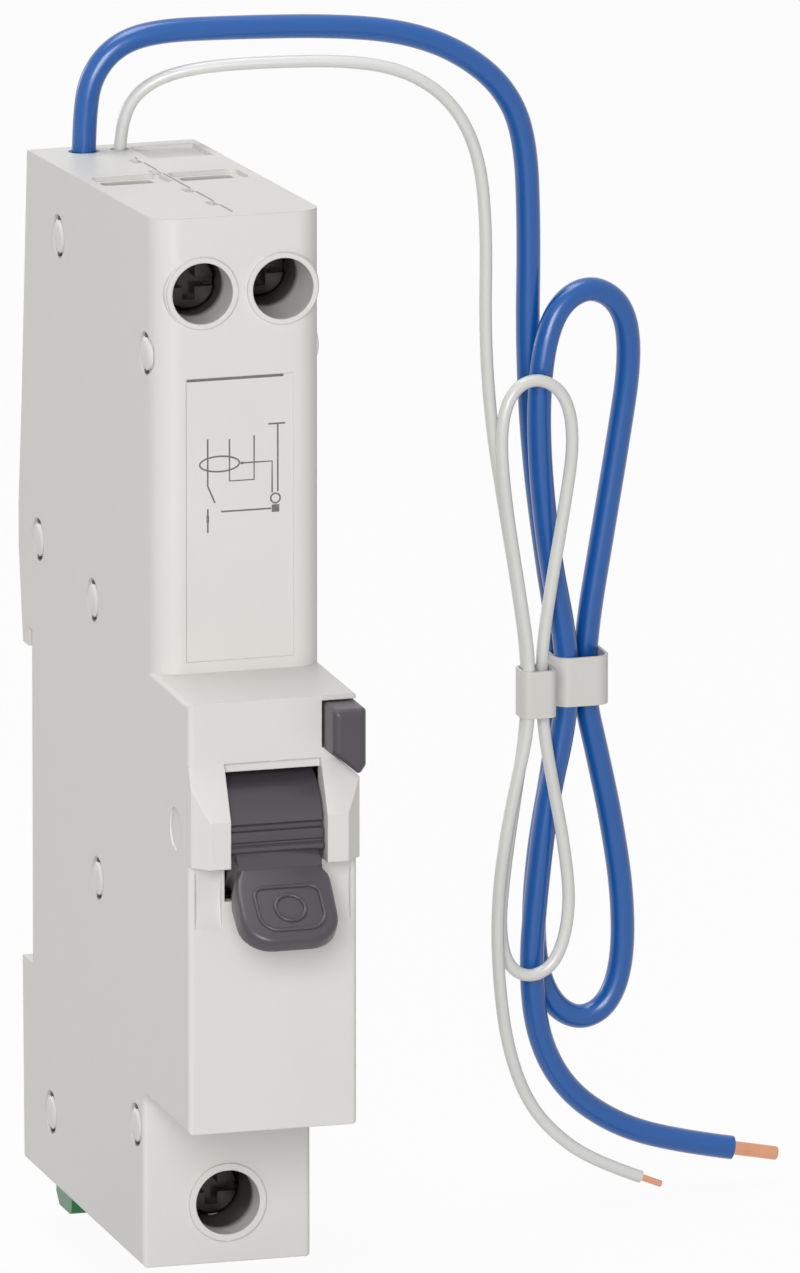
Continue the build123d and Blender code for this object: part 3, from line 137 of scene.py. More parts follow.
WHITE_ROUTE = [
    (0.0001, -0.0018, 0.0683),
    (0.0003, -0.0018, 0.0710),
    (0.0013, -0.0022, 0.0739),
    (0.0039, -0.0028, 0.0760),
    (0.0085, -0.0036, 0.0771),
    (0.0161, -0.0048, 0.0774),
    (0.0243, -0.0060, 0.0772),
    (0.0300, -0.0066, 0.0757),
    (0.0345, -0.0070, 0.0722),
    (0.0372, -0.0070, 0.0664),
    (0.0379, -0.0070, 0.0582),
    (0.0377, -0.0070, 0.0482),
    (0.0383, -0.0070, 0.0387),
    (0.0397, -0.0070, 0.0297),
    (0.0413, -0.0070, 0.0202),
    (0.0423, -0.0070, 0.0127),
    (0.0422, -0.0070, 0.0057),
    (0.0411, -0.0070, -0.0013),
    (0.0399, -0.0070, -0.0093),
    (0.0393, -0.0070, -0.0158),
    (0.0402, -0.0070, -0.0200),
    (0.0429, -0.0070, -0.0214),
    (0.0457, -0.0070, -0.0196),
    (0.0470, -0.0070, -0.0142),
    (0.0464, -0.0070, -0.0078),
    (0.0450, -0.0070, -0.0003),
    (0.0439, -0.0070, 0.0062),
    (0.0438, -0.0070, 0.0132),
    (0.0449, -0.0070, 0.0207),
    (0.0463, -0.0070, 0.0287),
    (0.0473, -0.0072, 0.0358),
    (0.0463, -0.0076, 0.0409),
    (0.0432, -0.0079, 0.0430),
    (0.0402, -0.0082, 0.0418),
    (0.0389, -0.0085, 0.0376),
    (0.0395, -0.0085, 0.0301),
    (0.0410, -0.0085, 0.0206),
    (0.0422, -0.0085, 0.0126),
    (0.0420, -0.0085, 0.0056),
    (0.0407, -0.0085, 0.0001),
    (0.0394, -0.0085, -0.0064),
    (0.0386, -0.0085, -0.0134),
    (0.0388, -0.0085, -0.0209),
    (0.0398, -0.0085, -0.0284),
    (0.0421, -0.0085, -0.0346),
    (0.0459, -0.0085, -0.0388),
    (0.0501, -0.0085, -0.0414),
    (0.0542, -0.0085, -0.0431),
]


# ---------------------------------------------------------------- shader maths
class Value:
    """One socket of a node tree; its operators add Math nodes to that tree."""

    def __init__(self, tree, socket):
        self.tree = tree
        self.socket = socket

    def math(self, operation, *others):
        """Math node fed with this value and others."""
        node = self.tree.nodes.new("ShaderNodeMath")
        node.operation = operation
        for socket, value in zip(node.inputs, (self, *others)):
            feed(self.tree, socket, value)
        return Value(self.tree, node.outputs[0])

    def __add__(self, other):
        return self.math("ADD", other)

    def __radd__(self, other):
        return self.math("ADD", other)

    def __sub__(self, other):
        return self.math("SUBTRACT", other)

    def __rsub__(self, other):
        return self.math("MULTIPLY", -1.0) + other

    def __mul__(self, other):
        return self.math("MULTIPLY", other)

    def __rmul__(self, other):
        return self.math("MULTIPLY", other)

    def __gt__(self, other):
        return self.math("GREATER_THAN", other)

    def __lt__(self, other):
        return self.math("LESS_THAN", other)


def feed(tree, socket, value):
    """Links a value into a socket, or writes a number, colour or vector on it."""
    if isinstance(value, Value):
        tree.links.new(value.socket, socket)
    elif isinstance(value, bpy.types.NodeSocket):
        tree.links.new(value, socket)
    else:
        socket.default_value = value


class Finish:
    """A material on one Principled shader, built from small procedural layers."""

    def __init__(self, name):
        self.material = bpy.data.materials.new(name)
        self.material.use_nodes = True
        self.tree = self.material.node_tree
        self.shader = self.tree.nodes["Principled BSDF"]
        self.place = Value(self.tree, self.node("ShaderNodeTexCoord").outputs["Object"])

    def node(self, kind, settings=None, **inputs):
        """New node with its settings and the values of its sockets."""
        made = self.tree.nodes.new(kind)
        for key, value in (settings or {}).items():
            setattr(made, key, value)
        for key, value in inputs.items():
            feed(self.tree, made.inputs[key.replace("_", " ")], value)
        return made

    def noise(self, scale, detail, place=None):
        """Noise from 0 to 1 whose scale counts features per metre."""
        vector = place or self.place
        made = self.node("ShaderNodeTexNoise", None, Vector=vector, Scale=scale, Detail=detail)
        return Value(self.tree, made.outputs["Fac"])

    def stretched(self, x, y, z):
        """Object coordinates scaled by different amounts along each axis."""
        made = self.node("ShaderNodeMapping")
        made.inputs["Scale"].default_value = (x, y, z)
        feed(self.tree, made.inputs["Vector"], self.place)
        return Value(self.tree, made.outputs[0])

    def mix(self, factor, first, second):
        """Colour between two colours."""
        made = self.node("ShaderNodeMix", {"data_type": "RGBA"})
        feed(self.tree, made.inputs[0], factor)
        feed(self.tree, made.inputs[6], first)
        feed(self.tree, made.inputs[7], second)
        return Value(self.tree, made.outputs[2])

    def set(self, **inputs):
        """Values of the Principled shader's sockets."""
        for key, value in inputs.items():
            feed(self.tree, self.shader.inputs[key.replace("_", " ")], value)
        return self

    def axes(self):
        """Object coordinates as three values."""
        made = self.node("ShaderNodeSeparateXYZ")
        feed(self.tree, made.inputs[0], self.place)
        return [Value(self.tree, socket) for socket in made.outputs]

    def relief(self, height, strength, distance, rounding=0.0, plain=0.0):
        """Bump over the surface on top of rounded edges; plain is 1 where an edge stays flat."""
        made = self.node("ShaderNodeBump", None, Strength=strength, Distance=distance)
        feed(self.tree, made.inputs["Height"], height)
        if rounding:
            edge = self.node("ShaderNodeBevel", {"samples": 6}, Radius=rounding)
            flat = self.node("ShaderNodeNewGeometry")
            normal = self.node("ShaderNodeMix", {"data_type": "VECTOR"})
            feed(self.tree, normal.inputs[0], plain)
            feed(self.tree, normal.inputs[4], edge.outputs[0])
            feed(self.tree, normal.inputs[5], flat.outputs["Normal"])
            self.tree.links.new(normal.outputs[1], made.inputs["Normal"])
        self.tree.links.new(made.outputs[0], self.shader.inputs["Normal"])
        return self


def shade(colour, factor):
    """Colour made lighter or darker by a factor."""
    return tuple(channel * factor for channel in colour[:3]) + (1.0,)


# moulded grain, in features per metre
CASE_GRAIN = 2600.0
CONTROL_GRAIN = 3200.0
INNER_GRAIN = 2200.0
SLEEVE_GRAIN = 1500.0
# where the tight middle seam keeps flat: half width of its strip, and y of the case's front
SEAM_STRIP = 0.3 * MM
SEAM_FACE = -46.8 * MM
# painted shade deep in a screw well: y past which it stops, depth it takes, reach past the bore
# and share of colour left
WELL_END = -25.0 * MM
WELL_FADE = 1.3 * MM
WELL_REACH = 0.1 * MM
WELL_PAINTED_SHADE = 0.1


def moulded(name, colour, roughness, rounding=0.0, grain=CASE_GRAIN, seam_top=None, painted_shade_wells=()):
    """Moulded plastic: soft mottling, a fine spark-eroded grain, rounded edges and painted shade
    deep in the screw wells.

    Below seam_top and on the front the tight middle seam keeps flat, so it doesn't show there.
    Each well gives x, z, bore radius and the y past which painted shade darkens its wall.
    """
    finish = Finish(name)
    plain = 0.0
    x, y, z = finish.axes()
    if seam_top is not None:
        plain = (x * x < SEAM_STRIP**2) * (z < seam_top).math("MAXIMUM", y < SEAM_FACE)
    cloud = finish.noise(90.0, 4.0)
    fine = finish.noise(grain, 2.0)
    tone = finish.mix(cloud, shade(colour, 0.965), shade(colour, 1.03))
    # painted shade: past its start each bore's wall fades to a dark copy of the colour, standing in
    # for the shadow deep in the well
    for well_x, well_z, bore, start in painted_shade_wells:
        across, up = x - well_x, z - well_z
        painted_depth_shade = ((y - start) * (1.0 / WELL_FADE)).math("MAXIMUM", 0.0).math("MINIMUM", 1.0)
        inside = (across * across + up * up < (bore + WELL_REACH) ** 2) * (y < WELL_END)
        tone = finish.mix(painted_depth_shade * inside, tone, shade(colour, WELL_PAINTED_SHADE))
    finish.set(Base_Color=tone, Roughness=roughness + 0.12 * (cloud - 0.5))
    finish.relief(fine, 0.18, 0.02 * MM, rounding, plain)
    return finish.material


def insulation(name, colour, roughness):
    """Extruded cable insulation with faint lengthwise unevenness."""
    finish = Finish(name)
    cloud = finish.noise(160.0, 3.0)
    fine = finish.noise(1400.0, 2.0)
    tone = finish.mix(cloud, shade(colour, 0.94), shade(colour, 1.05))
    finish.set(Base_Color=tone, Roughness=roughness + 0.08 * (fine - 0.5))
    finish.set(Coat_Weight=0.28, Coat_Roughness=0.06)
    finish.relief(cloud + 0.1 * fine, 0.03, 0.04 * MM)
    return finish.material


def metal(name, colour, roughness, rounding=0.06 * MM):
    """Drawn or turned metal with fine scratches and dull patches."""
    finish = Finish(name)
    cloud = finish.noise(400.0, 4.0)
    scratches = finish.noise(900.0, 3.0, place=finish.stretched(1.0, 8.0, 1.0))
    tone = finish.mix(cloud, shade(colour, 0.82), shade(colour, 1.1))
    finish.set(Base_Color=tone, Metallic=1.0, Roughness=roughness + 0.25 * (scratches - 0.5))
    finish.relief(scratches, 0.2, 0.02 * MM, rounding)
    return finish.material


# ---------------------------------------------------------------- settings
def colour_property(name, description, default):
    """Colour setting."""
    limits = {"size": 4, "min": 0.0, "max": 1.0}
    return bpy.props.FloatVectorProperty(
        name=name, description=description, subtype="COLOR", default=default, **limits
    )


def length_property(name, description, default):
    """Length setting in metres."""
    return bpy.props.FloatProperty(
        name=name, description=description, default=default, unit="LENGTH", precision=5
    )


def angle_property(name, description, degrees):
    """Angle setting given in degrees."""
    return bpy.props.FloatProperty(
        name=name, description=description, default=math.radians(degrees), subtype="ANGLE"
    )


class CaseSettings(bpy.types.PropertyGroup):
    """Colours and edges of the moulded case and its controls."""

    grey: colour_property("Case grey", "Colour of the two case halves", (0.70, 0.69, 0.665, 1.0))
    dark: colour_property("Control colour", "Colour of its controls", (0.062, 0.054, 0.065, 1.0))
    green: colour_property("Clip green", "Colour of the rail clip", (0.002, 0.19, 0.045, 1.0))
    line: length_property("Line", "Width of the printed lines", 0.18 * MM)
    counterbore: length_property("Counterbore", "Depth of the rivets' seats", 0.4 * MM)
    rivet_head: length_property("Rivet head", "Radius of a rivet's head", 1.75 * MM)
    # painted shadow: radius of the dark dots above and below each rivet head
    rivet_pit: length_property("Rivet pit", "Radius of the small pits beside a rivet", 0.27 * MM)
    pad_edge: length_property("Pad edge", "Rounding of the toggle's pad", 0.7 * MM)
    pad_rib: length_property("Pad rib", "Width of the ribs on the pad", 0.46 * MM)
    edge: length_property("Edge", "Radius of the moulded edges", 0.18 * MM)


class LeadSettings(bpy.types.PropertyGroup):
    """Sizes and colours of the two fly leads."""

    blue: colour_property("Blue", "Colour of the neutral fly lead", (0.004, 0.092, 0.36, 1.0))
    white: colour_property("White", "Colour of the earth lead", (0.70, 0.70, 0.68, 1.0))
    blue_diameter: length_property("Blue diameter", "Outer diameter of the blue lead", 2.5 * MM)
    white_diameter: length_property("White diameter", "Outer diameter of the white lead", 1.3 * MM)


class StageSettings(bpy.types.PropertyGroup):
    """Camera and studio."""

    azimuth: angle_property("Azimuth", "Camera's turn round the breaker", -16.1)
    elevation: angle_property("Elevation", "Camera's height above level", 13.9)
    distance: length_property("Distance", "Camera's distance from its target", 3.2)
    picture_height: length_property("Picture height", "Height seen at that distance", 0.13073)
    target: bpy.props.FloatVectorProperty(
        name="Target",
        description="Middle of the picture",
        default=(0.0234, -0.025, 0.0208),
        unit="LENGTH",
    )


# ---------------------------------------------------------------- geometry trees
class Tree:
    """A Geometry Nodes tree with named inputs, run once on a mesh."""

    def __init__(self, name):
        self.group = bpy.data.node_groups.new(name, "GeometryNodeTree")
        for side in ("INPUT", "OUTPUT"):
            self.group.interface.new_socket(
                "Geometry", in_out=side, socket_type="NodeSocketGeometry"
            )
        self.source = self.group.nodes.new("NodeGroupInput")
        self.result = self.group.nodes.new("NodeGroupOutput")
        self.values = {}

    def value(self, name, kind, value):
        """Named input of the tree with the value it is run with."""
        socket = self.group.interface.new_socket(name, in_out="INPUT", socket_type=kind)
        self.values[socket.identifier] = value
        return self.source.outputs[name]

    def length(self, name, value):
        """Named length in metres."""
        return self.value(name, "NodeSocketFloat", value)

    def node(self, kind, settings=None, inputs=None):
        """New node with its settings and the values or links of its sockets."""
        made = self.group.nodes.new(kind)
        for key, value in (settings or {}).items():
            setattr(made, key, value)
        for key, value in (inputs or {}).items():
            feed(self.group, made.inputs[key], value)
        return made

    def product(self, value, factor):
        """A length times a number."""
        made = self.node("ShaderNodeMath", {"operation": "MULTIPLY"}, {0: value, 1: factor})
        return made.outputs[0]

    def moved(self, geometry, **inputs):
        """Geometry shifted, turned or scaled."""
        return self.node("GeometryNodeTransform", None, {"Geometry": geometry, **inputs}).outputs[0]

    def cylinder(self, corners, radius, depth):
        """Upright cylinder round the origin."""
        sizes = {"Vertices": corners, "Radius": radius, "Depth": depth}
        return self.node("GeometryNodeMeshCylinder", None, sizes).outputs[0]

    def join(self, *parts):
        """One geometry made of several."""
        made = self.node("GeometryNodeJoinGeometry")
        for part in parts:
            self.group.links.new(part, made.inputs[0])
        return made.outputs[0]

    def run(self, name, source, geometry, material):
        """Plain mesh object made by the tree from a source mesh."""
        real = self.node("GeometryNodeRealizeInstances", None, {"Geometry": geometry})
        finish = self.value("Material", "NodeSocketMaterial", material)
        done = self.node(
            "GeometryNodeSetMaterial", None, {"Geometry": real.outputs[0], "Material": finish}
        )
        self.group.links.new(done.outputs[0], self.result.inputs[0])
        carrier = bpy.data.objects.new(f"{name}_source", source)
        bpy.context.scene.collection.objects.link(carrier)
        modifier = carrier.modifiers.new(name, "NODES")
        modifier.node_group = self.group
        for identifier, value in self.values.items():
            modifier[identifier] = value
        mesh = evaluated_mesh(carrier)
        mesh.name = name
        bpy.data.objects.remove(carrier)
        return finished(name, mesh)


def evaluated_mesh(piece):
    """Plain mesh of an object with its modifiers applied."""
    shown = piece.evaluated_get(bpy.context.evaluated_depsgraph_get())
    return bpy.data.meshes.new_from_object(shown)


SHARP_ANGLE = math.radians(24)


def finished(name, mesh):
    """Object of a closed mesh, smooth between its sharp edges, faces outwards."""
    shape = bmesh.new()
    shape.from_mesh(mesh)
    bmesh.ops.recalc_face_normals(shape, faces=shape.faces)
    shape.to_mesh(mesh)
    shape.free()
    mesh.shade_smooth()
    mesh.set_sharp_from_angle(angle=SHARP_ANGLE)
    piece = bpy.data.objects.new(name, mesh)
    bpy.context.scene.collection.objects.link(piece)
    return piece


def welded_copy(node):
    """Editable copy of a CAD node's mesh with its corners merged."""
    shape = bmesh.new()
    shape.from_mesh(frame["nodes"][node].data)
    bmesh.ops.remove_doubles(shape, verts=shape.verts, dist=WELD)
    return shape


def kept_mesh(name, shape):
    """Plain mesh of an editable one, which is freed."""
    mesh = bpy.data.meshes.new(name)
    shape.to_mesh(mesh)
    shape.free()
    return mesh


def loose_mesh(name, points, edges=()):
    """Mesh of points and edges without faces."""
    mesh = bpy.data.meshes.new(name)
    mesh.from_pydata(points, edges, [])
    return mesh


# ---------------------------------------------------------------- pieces
def put_on(node, material):
    """Gives a CAD node one material."""
    mesh = frame["nodes"][node].data
    mesh.materials.clear()
    mesh.materials.append(material)


def tube_curve(name, route, diameter, material):
    """Round lead on one smooth curve through its route's control points."""
    curve = bpy.data.curves.new(name, "CURVE")
    curve.dimensions = "3D"
    curve.bevel_depth = diameter / 2
    curve.bevel_resolution = 8
    curve.resolution_u = 10
    curve.use_fill_caps = True
    spline = curve.splines.new("NURBS")
    spline.points.add(len(route) - 1)
    for point, place in zip(spline.points, route):
        point.co = (*place, 1.0)
    spline.order_u = 3
    spline.use_endpoint_u = True
    curve.materials.append(material)
    lead = bpy.data.objects.new(name, curve)
    bpy.context.scene.collection.objects.link(lead)
    return lead


# screw wells in millimetres: x, height, bore radius and y past which painted shade darkens the
# wall;
# the heights of the upper two count down from the roof
UPPER_WELLS = [(-3.95, 7.85, 3.2, -44.3), (4.55, 7.85, 3.2, -42.0)]
LOWER_WELL = (0.0, -33.1, 3.4, -40.5)
SEAM_BELOW_ROOF = 6.0 * MM  # the seam shows only this far down from the roof
BUTTON_ROUNDING = 2.4  # the test button's edges are this much rounder than the case's


class BREAKER_OT_case(bpy.types.Operator):
    """Finishes the case halves, the test button and the rail clip"""

    bl_idname = "breaker.case"
    bl_label = "Case and controls"

    def execute(self, context):
        settings = context.scene.breaker_case
        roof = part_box("housing_left")[1].z
        # screw wells whose walls get painted shade
        upper = [(x * MM, roof - down * MM, bore * MM, y * MM) for x, down, bore, y in UPPER_WELLS]
        painted_shade_wells = [*upper, tuple(value * MM for value in LOWER_WELL)]
        seam_top = roof - SEAM_BELOW_ROOF
        edge = settings.edge
        grey = moulded("case_grey", settings.grey, 0.42, edge, CASE_GRAIN, seam_top, painted_shade_wells)
        put_on("housing_left", grey)
        put_on("housing_right", grey)
        put_on("rail_clip", moulded("clip_green", settings.green, 0.3, edge, INNER_GRAIN))
        soft_edge = BUTTON_ROUNDING * edge
        put_on("test_button", moulded("button_dark", settings.dark, 0.34, soft_edge, CONTROL_GRAIN))
        return {"FINISHED"}


SEAM_STEPS = 12
SEAM_SIDE = -0.06  # x at which the roof's height is felt, in millimetres
SEAM_COLOUR = (0.28, 0.275, 0.265, 1.0)


class BREAKER_OT_seam(bpy.types.Operator):
    """Marks the open seam between the case halves along the roof"""

    bl_idname = "breaker.roof_seam"
    bl_label = "Roof seam"

    def execute(self, context):
        settings = context.scene.breaker_case
        shadow = moulded("seam_shadow", SEAM_COLOUR, 0.6)
        cast = BVHTree.FromObject(frame["nodes"]["housing_left"], context.evaluated_depsgraph_get())
        down = Vector((0.0, 0.0, -1.0))
        strokes = []
        for start, end in SEAM_RUNS:
            stroke = []
            for step in range(SEAM_STEPS + 1):
                y = start + (end - start) * step / SEAM_STEPS
                hit = cast.ray_cast(Vector((SEAM_SIDE * MM, y * MM, 0.1)), down)[0]
                stroke.append((0.0, y, hit.z / MM))
            strokes.append(stroke)
        line = line_piece("roof_seam_line", strokes, settings.line / 2, shadow)
        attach(line, "root")
        return {"FINISHED"}


# ---------------------------------------------------------------- rivets
RIVET_SHANK = 1.3 * MM
SEAT_DISC = 0.06 * MM
# painted shadow dots beside each rivet: their distance from its middle and their near black colour
SHADOW_DOT_OFFSET = 1.85 * MM
SHADOW_DOT_COLOUR = (0.06, 0.058, 0.055, 1.0)
ACROSS = (0.0, math.pi / 2, 0.0)  # turn that lays an upright rivet across the case
HALF_TURN = (0.0, math.pi, 0.0)
# rings of the domed head: start and end of its height, lower and upper share of its radius
HEAD_RINGS = (
    (0.0, 0.55, 1.0, 1.0),
    (0.55, 0.8, 1.0, 0.82),
    (0.8, 0.94, 0.82, 0.55),
    (0.94, 1.0, 0.55, 0.2),
)


def solid_centres(node):
    """Middle of each separate solid of a CAD node, in metres."""
    shape = welded_copy(node)
    left = set(shape.verts)
    centres = []
    while left:
        group = {left.pop()}
        border = list(group)
        while border:
            vert = border.pop()
            for edge in vert.link_edges:
                other = edge.other_vert(vert)
                if other in left:
                    left.discard(other)
                    group.add(other)
                    border.append(other)
        low = Vector([min(vert.co[axis] for vert in group) for axis in range(3)])
        high = Vector([max(vert.co[axis] for vert in group) for axis in range(3)])
        centres.append((low + high) / 2)
    shape.free()
    return sorted(centres, key=tuple)


class BREAKER_OT_rivets(bpy.types.Operator):
    """Makes the domed rivets that hold the case halves, set in open counterbores, with painted
    shade on the counterbores' seats and painted shadow dots beside each head
    """

    bl_idname = "breaker.rivets"
    bl_label = "Rivets"

    def execute(self, context):
        settings = context.scene.breaker_case
        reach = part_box("housing_rivets")[1]
        face = -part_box("housing_left")[0].x
        seat = face - settings.counterbore
        centres = solid_centres("housing_rivets")
        bore = reach.z - max(centre.z for centre in centres)

        self.heads(settings, centres, seat, reach.x - seat)
        self.seats(settings, centres, seat, bore)
        self.painted_shadow_dots(settings, centres, face)
        return {"FINISHED"}

    def heads(self, settings, centres, seat, tall):
        """Shanks with a domed head at both ends."""
        tree = Tree("rivet_tree")
        radius = tree.length("Head radius", settings.rivet_head)
        shank = tree.length("Shank radius", RIVET_SHANK)
        length = tree.length("Length between seats", 2 * seat)
        turn = tree.value("Across the case", "NodeSocketVector", ACROSS)
        bar = tree.cylinder(24, shank, length)
        rings = []
        for start, end, wide, narrow in HEAD_RINGS:
            sizes = {
                "Vertices": 32,
                "Radius Bottom": tree.product(radius, wide),
                "Radius Top": tree.product(radius, narrow),
                "Depth": (end - start) * tall,
            }
            ring = tree.node("GeometryNodeMeshCone", None, sizes).outputs[0]
            rings.append(tree.moved(ring, Translation=(0, 0, seat + start * tall)))
        head = tree.join(*rings)
        rivet = tree.join(bar, head, tree.moved(head, Rotation=HALF_TURN))
        enamel = moulded("rivet_enamel", shade(settings.grey, 1.02), 0.4)
        self.place(tree, rivet, turn, centres, enamel, "case_rivets", "housing_rivets")

    def seats(self, settings, centres, seat, bore):
        """Thin discs at the bottom of the counterbores, darker than the case: painted shade in the
        gap round each head.
        """
        tree = Tree("rivet_gap_tree")
        radius = tree.length("Counterbore radius", bore)
        length = tree.length("Length between faces", 2 * seat + SEAT_DISC)
        turn = tree.value("Across the case", "NodeSocketVector", ACROSS)
        disc = tree.cylinder(32, radius, SEAT_DISC)
        half = tree.product(length, 0.5)
        rise = tree.node("ShaderNodeCombineXYZ", None, {"Z": half}).outputs[0]
        near = tree.moved(disc, Translation=rise)
        pair = tree.join(near, tree.moved(near, Rotation=HALF_TURN))
        # painted shade: the seats take a darker copy of the case grey
        seat_shade = moulded("rivet_gap", shade(settings.grey, 0.85), 0.6)
        self.place(tree, pair, turn, centres, seat_shade, "rivet_seats")

    def painted_shadow_dots(self, settings, centres, face):
        """Painted shadow: two small dark dots above and below every rivet, flush with the case,
        standing in the gap round its head.
        """
        tree = Tree("rivet_pit_tree")
        radius = tree.length("Pit radius", settings.rivet_pit)
        turn = tree.value("Across the case", "NodeSocketVector", ACROSS)
        dot = tree.cylinder(16, radius, 2 * face)
        shifts = (-SHADOW_DOT_OFFSET, SHADOW_DOT_OFFSET)
        spots = [Vector((0.0, spot.y, spot.z + shift)) for spot in centres for shift in shifts]
        shadow_dot_finish = moulded("rivet_pit", SHADOW_DOT_COLOUR, 0.6)
        self.place(tree, dot, turn, spots, shadow_dot_finish, "rivet_pits")

    def place(self, tree, shape, turn, centres, material, name, replaced=None):
        """One copy of a shape at every centre."""
        points = tree.source.outputs["Geometry"]
        inputs = {"Points": points, "Instance": shape, "Rotation": turn}
        copies = tree.node("GeometryNodeInstanceOnPoints", None, inputs).outputs[0]
        piece = tree.run(name, loose_mesh(f"{name}_places", centres), copies, material)
        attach(piece, "root")
        if replaced:
            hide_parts(replaced)


# ---------------------------------------------------------------- toggle
LEVER_ANGLE = math.radians(216)
LEVER_CUT = 7.9  # the CAD lever is kept up to here, in millimetres from the pin
# half plan of the lever: distance along it and half width, in millimetres
LEVER_PLAN = [
    (7.0, 4.36),
    (7.7, 4.38),
    (8.2, 4.6),
    (8.7, 4.9),
    (9.3, 5.02),
    (10.6, 5.15),
    (13.4, 5.15),
]
LEVER_TIP = 16.75
LEVER_CORNER = 3.2
# sideways lean of the pad: where it starts, length it takes and shift
LEVER_LEAN = (9.4, 2.0, 0.25)
# height of each face above the lever's middle line, at its root and at its tip
LEVER_FRONT = (2.36, 1.4)
LEVER_UNDER = (-1.36, -0.6)
PAD_EDGE_ANGLE = math.radians(42)
# ring on the pad: distance of its centre along the lever and radius
PAD_RING = (12.8, 1.55)
# corners of the frame on the pad: distance along the lever, place across it and radius
FRAME_CORNERS = [(13.5, 1.55, 1.9), (11.3, 2.35, 1.1), (11.3, -2.35, 1.1), (13.5, -1.55, 1.9)]


def lever_point(along, across, out):
    """Point, in metres, at millimetres along the toggle's lever, across it and out of its front."""
    joints = frame["record"]["behaviour"]["joints"]
    joint = next(row for row in joints if row["name"] == "toggle_turn")
    cosine, sine = math.cos(LEVER_ANGLE), math.sin(LEVER_ANGLE)
    offset = Vector((across, along * cosine + out * sine, along * sine - out * cosine))
    return Vector(joint["pos_m"]) + offset * MM


def lever_outline():
    """Closed outline of the lever in plan, with a well rounded end."""
    half = list(LEVER_PLAN)
    corner_along = LEVER_TIP - LEVER_CORNER
    corner_across = LEVER_PLAN[-1][1] - LEVER_CORNER
    for step in range(1, 10):
        turn = math.pi / 2 * (1 - step / 9)
        along = corner_along + LEVER_CORNER * math.cos(turn)
        half.append((along, corner_across + LEVER_CORNER * math.sin(turn)))
    both = half + [(along, -across) for along, across in reversed(half)]
    start, length, shift = LEVER_LEAN
    shares = [min(max(along - start, 0.0) / length, 1.0) for along, across in both]
    return [(along, across - shift * share) for (along, across), share in zip(both, shares)]


def on_face(face, along):
    """Height of one of the lever's faces at a distance along it."""
    share = (along - LEVER_PLAN[0][0]) / (LEVER_TIP - LEVER_PLAN[0][0])
    return face[0] + (face[1] - face[0]) * share


def closed_slab(name, top, under):
    """Mesh between two outlines with the same number of points."""
    count = len(top)
    faces = [tuple(range(count)), tuple(reversed(range(count, 2 * count)))]
    for number in range(count):
        after = (number + 1) % count
        faces.append((number, number + count, after + count, after))
    mesh = bpy.data.meshes.new(name)
    mesh.from_pydata(top + under, [], faces)
    return mesh


class BREAKER_OT_toggle(bpy.types.Operator):
    """Makes the toggle with its thin rounded pad, raised frame and ring"""

    bl_idname = "breaker.toggle"
    bl_label = "Toggle"

    def execute(self, context):
        settings = context.scene.breaker_case
        dark = moulded("toggle_dark", settings.dark, 0.34, settings.edge, CONTROL_GRAIN)
        lever = self.lever(settings)
        drum = finished("toggle_drum", self.drum_mesh())
        union = drum.modifiers.new("union", "BOOLEAN")
        union.operation = "UNION"
        union.solver = "EXACT"
        union.object = lever
        mesh = evaluated_mesh(drum)
        mesh.materials.clear()
        mesh.materials.append(dark)
        bpy.data.objects.remove(drum)
        bpy.data.objects.remove(lever)
        toggle = finished("toggle_with_pad", mesh)
        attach(toggle, "toggle")
        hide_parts("toggle")

        ribs = line_piece("pad_ribs", self.pad_marks(), settings.pad_rib / 2, dark)
        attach(ribs, "toggle")
        return {"FINISHED"}

    def drum_mesh(self):
        """The toggle's drum with the root of its lever, closed where the lever is cut."""
        body = welded_copy("toggle")
        outward = lever_point(1.0, 0.0, 0.0) - lever_point(0.0, 0.0, 0.0)
        cut = lever_point(LEVER_CUT, 0.0, 0.0)
        bmesh.ops.bisect_plane(
            body,
            geom=body.verts[:] + body.edges[:] + body.faces[:],
            plane_co=cut,
            plane_no=outward,
            clear_outer=True,
        )
        bmesh.ops.holes_fill(body, edges=[edge for edge in body.edges if edge.is_boundary])
        return kept_mesh("toggle_drum", body)

    def lever(self, settings):
        """Lever with rounded edges, thinner towards its tip."""
        outline = lever_outline()
        front, back = (
            [lever_point(along, across, on_face(face, along)) for along, across in outline]
            for face in (LEVER_FRONT, LEVER_UNDER)
        )
        lever = finished("toggle_lever", closed_slab("toggle_lever", front, back))
        rounding = lever.modifiers.new("edges", "BEVEL")
        rounding.width = settings.pad_edge
        rounding.segments = 4
        rounding.limit_method = "ANGLE"
        rounding.angle_limit = PAD_EDGE_ANGLE
        return lever

    def pad_marks(self):
        """Ring and rounded frame on the pad's front, as closed strokes."""
        middle, size = PAD_RING
        ring = [(middle + size * math.sin(turn), size * math.cos(turn)) for turn in full_turn(32)]
        outer = []
        for number, (along, across, radius) in enumerate(FRAME_CORNERS):
            for step in range(7):
                turn = math.pi / 2 * (number + step / 6)
                outer.append((along + radius * math.cos(turn), across + radius * math.sin(turn)))
        strokes = []
        for stroke in (ring, outer):
            closed = [*stroke, stroke[0]]
            strokes.append([lever_point(a, c, on_face(LEVER_FRONT, a)) / MM for a, c in closed])
        return strokes


